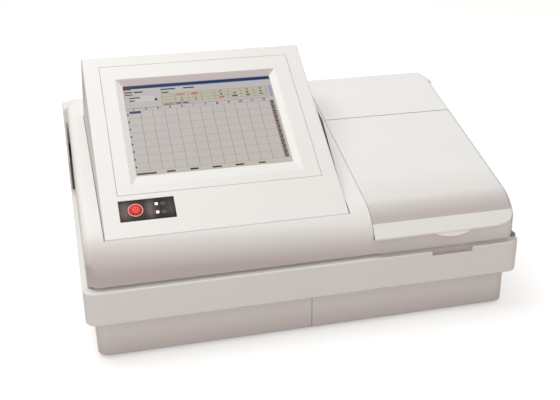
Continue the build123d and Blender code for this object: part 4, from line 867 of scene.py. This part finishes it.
class ReaderKeys(bpy.types.Operator):
    """Finish the control panel and lay its symbols"""

    bl_idname = "reader.keys"
    bl_label = "Control panel"

    print_depth = 0.04 * MM
    symbol_radius = 2.6 * MM
    symbol_line = 0.8 * MM
    symbol_gap = 0.6                # half of the ring's gap, in radians
    bar_top = 3.4 * MM
    light_size = 3.2 * MM
    mark_offset = 5.0 * MM
    mark_radius = 1.7 * MM
    mark_line = 0.6 * MM
    mark_span = (0.06, 6.22)

    def execute(self, context):
        # The overlay's lighter colour is its painted sheen.
        dress(
            ["control_panel"],
            key_plate("panel_overlay", linear(20, 14, 13), linear(118, 106, 102)),
        )
        dress(["button_ring"], satin("rim_pale", linear(232, 160, 153), 0.3))
        # The red key's glow is painted light; the key is no lamp.
        dress(["power_button"], glossy_key("key_red", linear(206, 12, 8), 0.10))
        dress(["status_leds"], glossy_key("light_white", linear(244, 242, 240), 0.35))
        self.power_symbol()
        self.light_symbols()
        return {"FINISHED"}

    def power_symbol(self):
        """Open ring with a bar, printed on the button."""
        centre = node_front("power_button")
        made = bmesh.new()
        lift = FACE_NORMAL * self.print_depth
        ring = arc_outline(
            centre, self.symbol_radius, self.symbol_line, self.symbol_gap,
            2 * pi - self.symbol_gap,
        )
        add_prism(made, ring, lift)
        half = self.symbol_line / 2
        bar = [
            centre + FACE_RIGHT * x + FACE_UP * y
            for x, y in ((-half, 0), (half, 0), (half, self.bar_top), (-half, self.bar_top))
        ]
        add_prism(made, bar, lift)
        pale = satin("symbol_pale", linear(250, 118, 104), 0.3)
        new_piece("power_symbol", made, pale, "power_button")

    def light_symbols(self):
        """Faint round marks beside the two lights."""
        made = bmesh.new()
        lift = FACE_NORMAL * self.print_depth
        panel = node_front("control_panel").dot(FACE_NORMAL)
        lights = [v.co for v in frame["nodes"]["status_leds"].data.vertices]
        rows = [p.dot(FACE_UP) for p in lights]
        right = max(p.x for p in lights) + self.mark_offset
        half = self.light_size / 2
        for up in (max(rows) - half, min(rows) + half):
            centre = FACE_RIGHT * right + FACE_UP * up + FACE_NORMAL * panel
            ring = arc_outline(centre, self.mark_radius, self.mark_line, *self.mark_span)
            add_prism(made, ring, lift)
        grey = satin("mark_grey", linear(140, 128, 124), 0.4)
        new_piece("light_marks", made, grey)


class ReaderWorks(bpy.types.Operator):
    """Finish the mechanism, optics, electronics and back panel parts"""

    bl_idname = "reader.works"
    bl_label = "Works"

    def execute(self, context):
        dress(["chassis_plate", "deck_pillars"], galvanised("zinc_sheet", (0.62, 0.63, 0.64, 1)))
        dress(["hinge_brackets"], galvanised("bracket_zinc", (0.6, 0.61, 0.62, 1)))
        dress(
            ["guide_rods", "hinge_pins"],
            brushed("ground_steel", (0.72, 0.72, 0.73, 1), 0.18, (0.05, 1, 1)),
        )
        dress(
            ["lid_hinge_arms"],
            brushed("pressed_steel", (0.6, 0.6, 0.61, 1), 0.3, (1, 0.2, 1)),
        )
        dress(["deck_plate", "optics_plate"], powder_coat("deck_paint", (0.09, 0.09, 0.095, 1)))
        dress(
            ["lens_bar", "read_head", "optics_bridge", "rod_supports"],
            satin("anodised_black", (0.045, 0.045, 0.05, 1), 0.36),
        )
        dress(["plate_carriage"], powder_coat("carriage_grey", (0.17, 0.17, 0.18, 1), 0.42))
        dress(["carriage_bushes"], brushed("bronze", (0.55, 0.4, 0.2, 1), 0.32, (0.1, 1, 1)))
        dress(["timing_belt"], ribbed_belt("belt_rubber", (0.025, 0.025, 0.025, 1)))
        dress(
            ["drive_pulley", "idler_pulley", "idler_post"],
            brushed("pulley_alloy", (0.75, 0.75, 0.76, 1), 0.3, (1, 1, 0.1)),
        )
        dress(
            ["carriage_motor", "filter_motor"],
            powder_coat("motor_black", (0.04, 0.04, 0.045, 1), 0.4),
        )
        dress(["lenses", "condenser_lens"], clear_glass("lens_glass", (0.9, 0.93, 0.95, 1)))
        dress(
            ["lamp_housing", "lens_tube"],
            brushed("cast_alloy", (0.5, 0.5, 0.51, 1), 0.42, (1, 1, 0.3)),
        )
        dress(["lamp"], clear_glass("bulb_glass", (0.85, 0.83, 0.78, 1), 0.08, 0.8))
        dress(["filter_wheel"], satin("wheel_black", (0.05, 0.05, 0.055, 1), 0.34))
        dress(["filters"], clear_glass("filter_glass", (0.55, 0.35, 0.65, 1), 0.05, 0.75))
        dress(
            ["main_board", "display_board", "button_board"],
            circuit_board("board_green", (0.02, 0.13, 0.055, 1)),
        )
        dress(["power_supply"], galvanised("supply_case", (0.64, 0.65, 0.66, 1)))
        dress(["fan_frame", "fan_impeller"], satin("fan_black", (0.035, 0.035, 0.038, 1), 0.4))
        dress(
            ["mains_inlet", "switch_frame", "mains_rocker"],
            satin("socket_black", (0.03, 0.03, 0.032, 1), 0.35),
        )
        dress(["port_sockets"], brushed("port_shell", (0.68, 0.68, 0.69, 1), 0.28, (1, 0.1, 1)))
        return {"FINISHED"}


class ReaderStage(bpy.types.Operator):
    """Set the camera, the lamps, the sky and the floor"""

    bl_idname = "reader.stage"
    bl_label = "Stage"

    place = Vector((-0.2391, -0.9432, 0.5163))
    yaw = radians(14.28)
    pitch = radians(23.42)
    roll = radians(-0.37)
    sensor_width = 36.0
    lamp_target = Vector((0, 0, 0.1))
    # Name, place, size, share of the key light's power, and colour.
    lights = (
        ("key", (-0.55, 0.35, 1.75), 1.5, 1.0, (0.98, 1.0, 0.99)),
        ("fill", (-0.7, -2.1, 0.42), 1.2, 0.60, (1.0, 0.96, 0.95)),
    )
    sky_tint = ((0.0, (1.0, 0.91, 0.88, 1)), (0.7, (0.99, 0.985, 0.97, 1)))
    floor_reach = 12.0
    floor_bounce = (0.48, 0.42, 0.40, 1.0)
    floor_seen = (0.80, 0.795, 0.79, 1.0)
    floor_glow = 0.42

    def execute(self, context):
        look = context.scene.reader_studio
        self.camera(context, look)
        for name, place, size, share, colour in self.lights:
            self.lamp(context, name, place, size, look.key * share, colour)
        self.sky(context, look)
        self.floor(context)
        context.scene.view_settings.view_transform = "Standard"
        return {"FINISHED"}

    def camera(self, context, look):
        """Camera in front of the left end, looking down and to the right."""
        lens = bpy.data.cameras.new("reader_camera")
        lens.lens = look.lens
        lens.sensor_width = self.sensor_width
        lens.clip_start = 0.05
        lens.clip_end = 60.0
        camera = bpy.data.objects.new("reader_camera", lens)
        context.scene.collection.objects.link(camera)
        forward = Vector((
            sin(self.yaw) * cos(self.pitch), cos(self.yaw) * cos(self.pitch), -sin(self.pitch)
        ))
        side = Vector((cos(self.yaw), -sin(self.yaw), 0.0))
        up = side.cross(forward)
        right = side * cos(self.roll) + up * sin(self.roll)
        top = up * cos(self.roll) - side * sin(self.roll)
        turn = Matrix((right, top, -forward)).transposed().to_4x4()
        camera.matrix_world = Matrix.Translation(self.place) @ turn
        context.scene.camera = camera

    def lamp(self, context, name, place, size, power, colour):
        """Round soft lamp that points at the middle of the reader."""
        light = bpy.data.lights.new(f"reader_{name}", "AREA")
        light.shape = "DISK"
        light.size = size
        light.energy = power
        light.color = colour
        lamp = bpy.data.objects.new(light.name, light)
        context.scene.collection.objects.link(lamp)
        lamp.location = place
        aim = self.lamp_target - Vector(place)
        lamp.rotation_mode = "QUATERNION"
        lamp.rotation_quaternion = aim.to_track_quat("-Z", "Y")

    def sky(self, context, look):
        """Even light from all round, and plain white where the sky itself is seen."""
        world = bpy.data.worlds.new("reader_sky")
        context.scene.world = world
        world.use_nodes = True
        world.node_tree.nodes.clear()
        board = NodeBoard(world.node_tree)
        seen = board.node("ShaderNodeLightPath", output="Is Camera Ray")
        for ray in ("Is Glossy Ray", "Is Transmission Ray"):
            seen = seen.at_least(board.node("ShaderNodeLightPath", output=ray))
        way = board.node("ShaderNodeTexCoord", output="Generated")
        height = board.node("ShaderNodeSeparateXYZ", {}, {0: way}, output="Z")
        tint = board.ramp(height, self.sky_tint)
        soft = board.node("ShaderNodeBackground", {}, {"Color": tint, "Strength": look.world})
        white = board.node("ShaderNodeBackground", {}, {"Color": (1.0, 1.0, 1.0, 1.0)})
        both = board.node("ShaderNodeMixShader", {}, {0: seen, 1: soft, 2: white})
        board.node("ShaderNodeOutputWorld", {}, {"Surface": both}, output=None)

    def floor(self, context):
        """Wide floor that shows as white and keeps the shadow."""
        made = bmesh.new()
        reach = self.floor_reach
        corners = [(-reach, -reach), (reach, -reach), (reach, reach), (-reach, reach)]
        made.faces.new([made.verts.new((x, y, 0.0)) for x, y in corners])
        mesh = bpy.data.meshes.new("reader_floor")
        made.to_mesh(mesh)
        made.free()
        floor = bpy.data.objects.new("reader_floor", mesh)
        context.scene.collection.objects.link(floor)
        finish = Finish("floor_white", Roughness=0.9, Specular_IOR_Level=0.0)
        seen = finish.node("ShaderNodeLightPath", output="Is Camera Ray")
        finish.feed("Base Color", finish.blend(seen, self.floor_bounce, self.floor_seen))
        glow = finish.node("ShaderNodeEmission", {}, {"Strength": seen * self.floor_glow})
        lit_floor = Reading(finish, finish.shader.outputs[0])
        both = finish.node("ShaderNodeAddShader", {}, {0: lit_floor, 1: glow})
        surface = finish.tree.nodes["Material Output"].inputs["Surface"]
        finish.tree.links.new(both.socket, surface)
        mesh.materials.append(finish.material)


class ReaderPanel(bpy.types.Panel):
    """Buttons for the reader's pieces"""

    bl_idname = "VIEW3D_PT_reader"
    bl_label = "Microplate reader"
    bl_space_type = "VIEW_3D"
    bl_region_type = "UI"
    bl_category = "Reader"

    def draw(self, context):
        for group in GROUPS.values():
            look = getattr(context.scene, group)
            for key in look.__annotations__:
                self.layout.prop(look, key)
        for operator in STEPS:
            self.layout.operator(operator.bl_idname)


GROUPS = {
    ReaderShell: "reader_shell",
    ReaderScreen: "reader_screen",
    ReaderStudio: "reader_studio",
}
STEPS = (ReaderShells, ReaderPage, ReaderKeys, ReaderWorks, ReaderStage)


def register():
    for made in (*GROUPS, *STEPS, ReaderPanel):
        bpy.utils.register_class(made)
    for made, name in GROUPS.items():
        setattr(bpy.types.Scene, name, bpy.props.PointerProperty(type=made))


def unregister():
    for name in GROUPS.values():
        delattr(bpy.types.Scene, name)
    for made in (ReaderPanel, *reversed(STEPS), *reversed(GROUPS)):
        bpy.utils.unregister_class(made)


def main():
    register()
    bpy.ops.reader.shells()
    bpy.ops.reader.page()
    bpy.ops.reader.keys()
    bpy.ops.reader.works()
    bpy.ops.reader.stage()


if __name__ == "__main__":
    main()
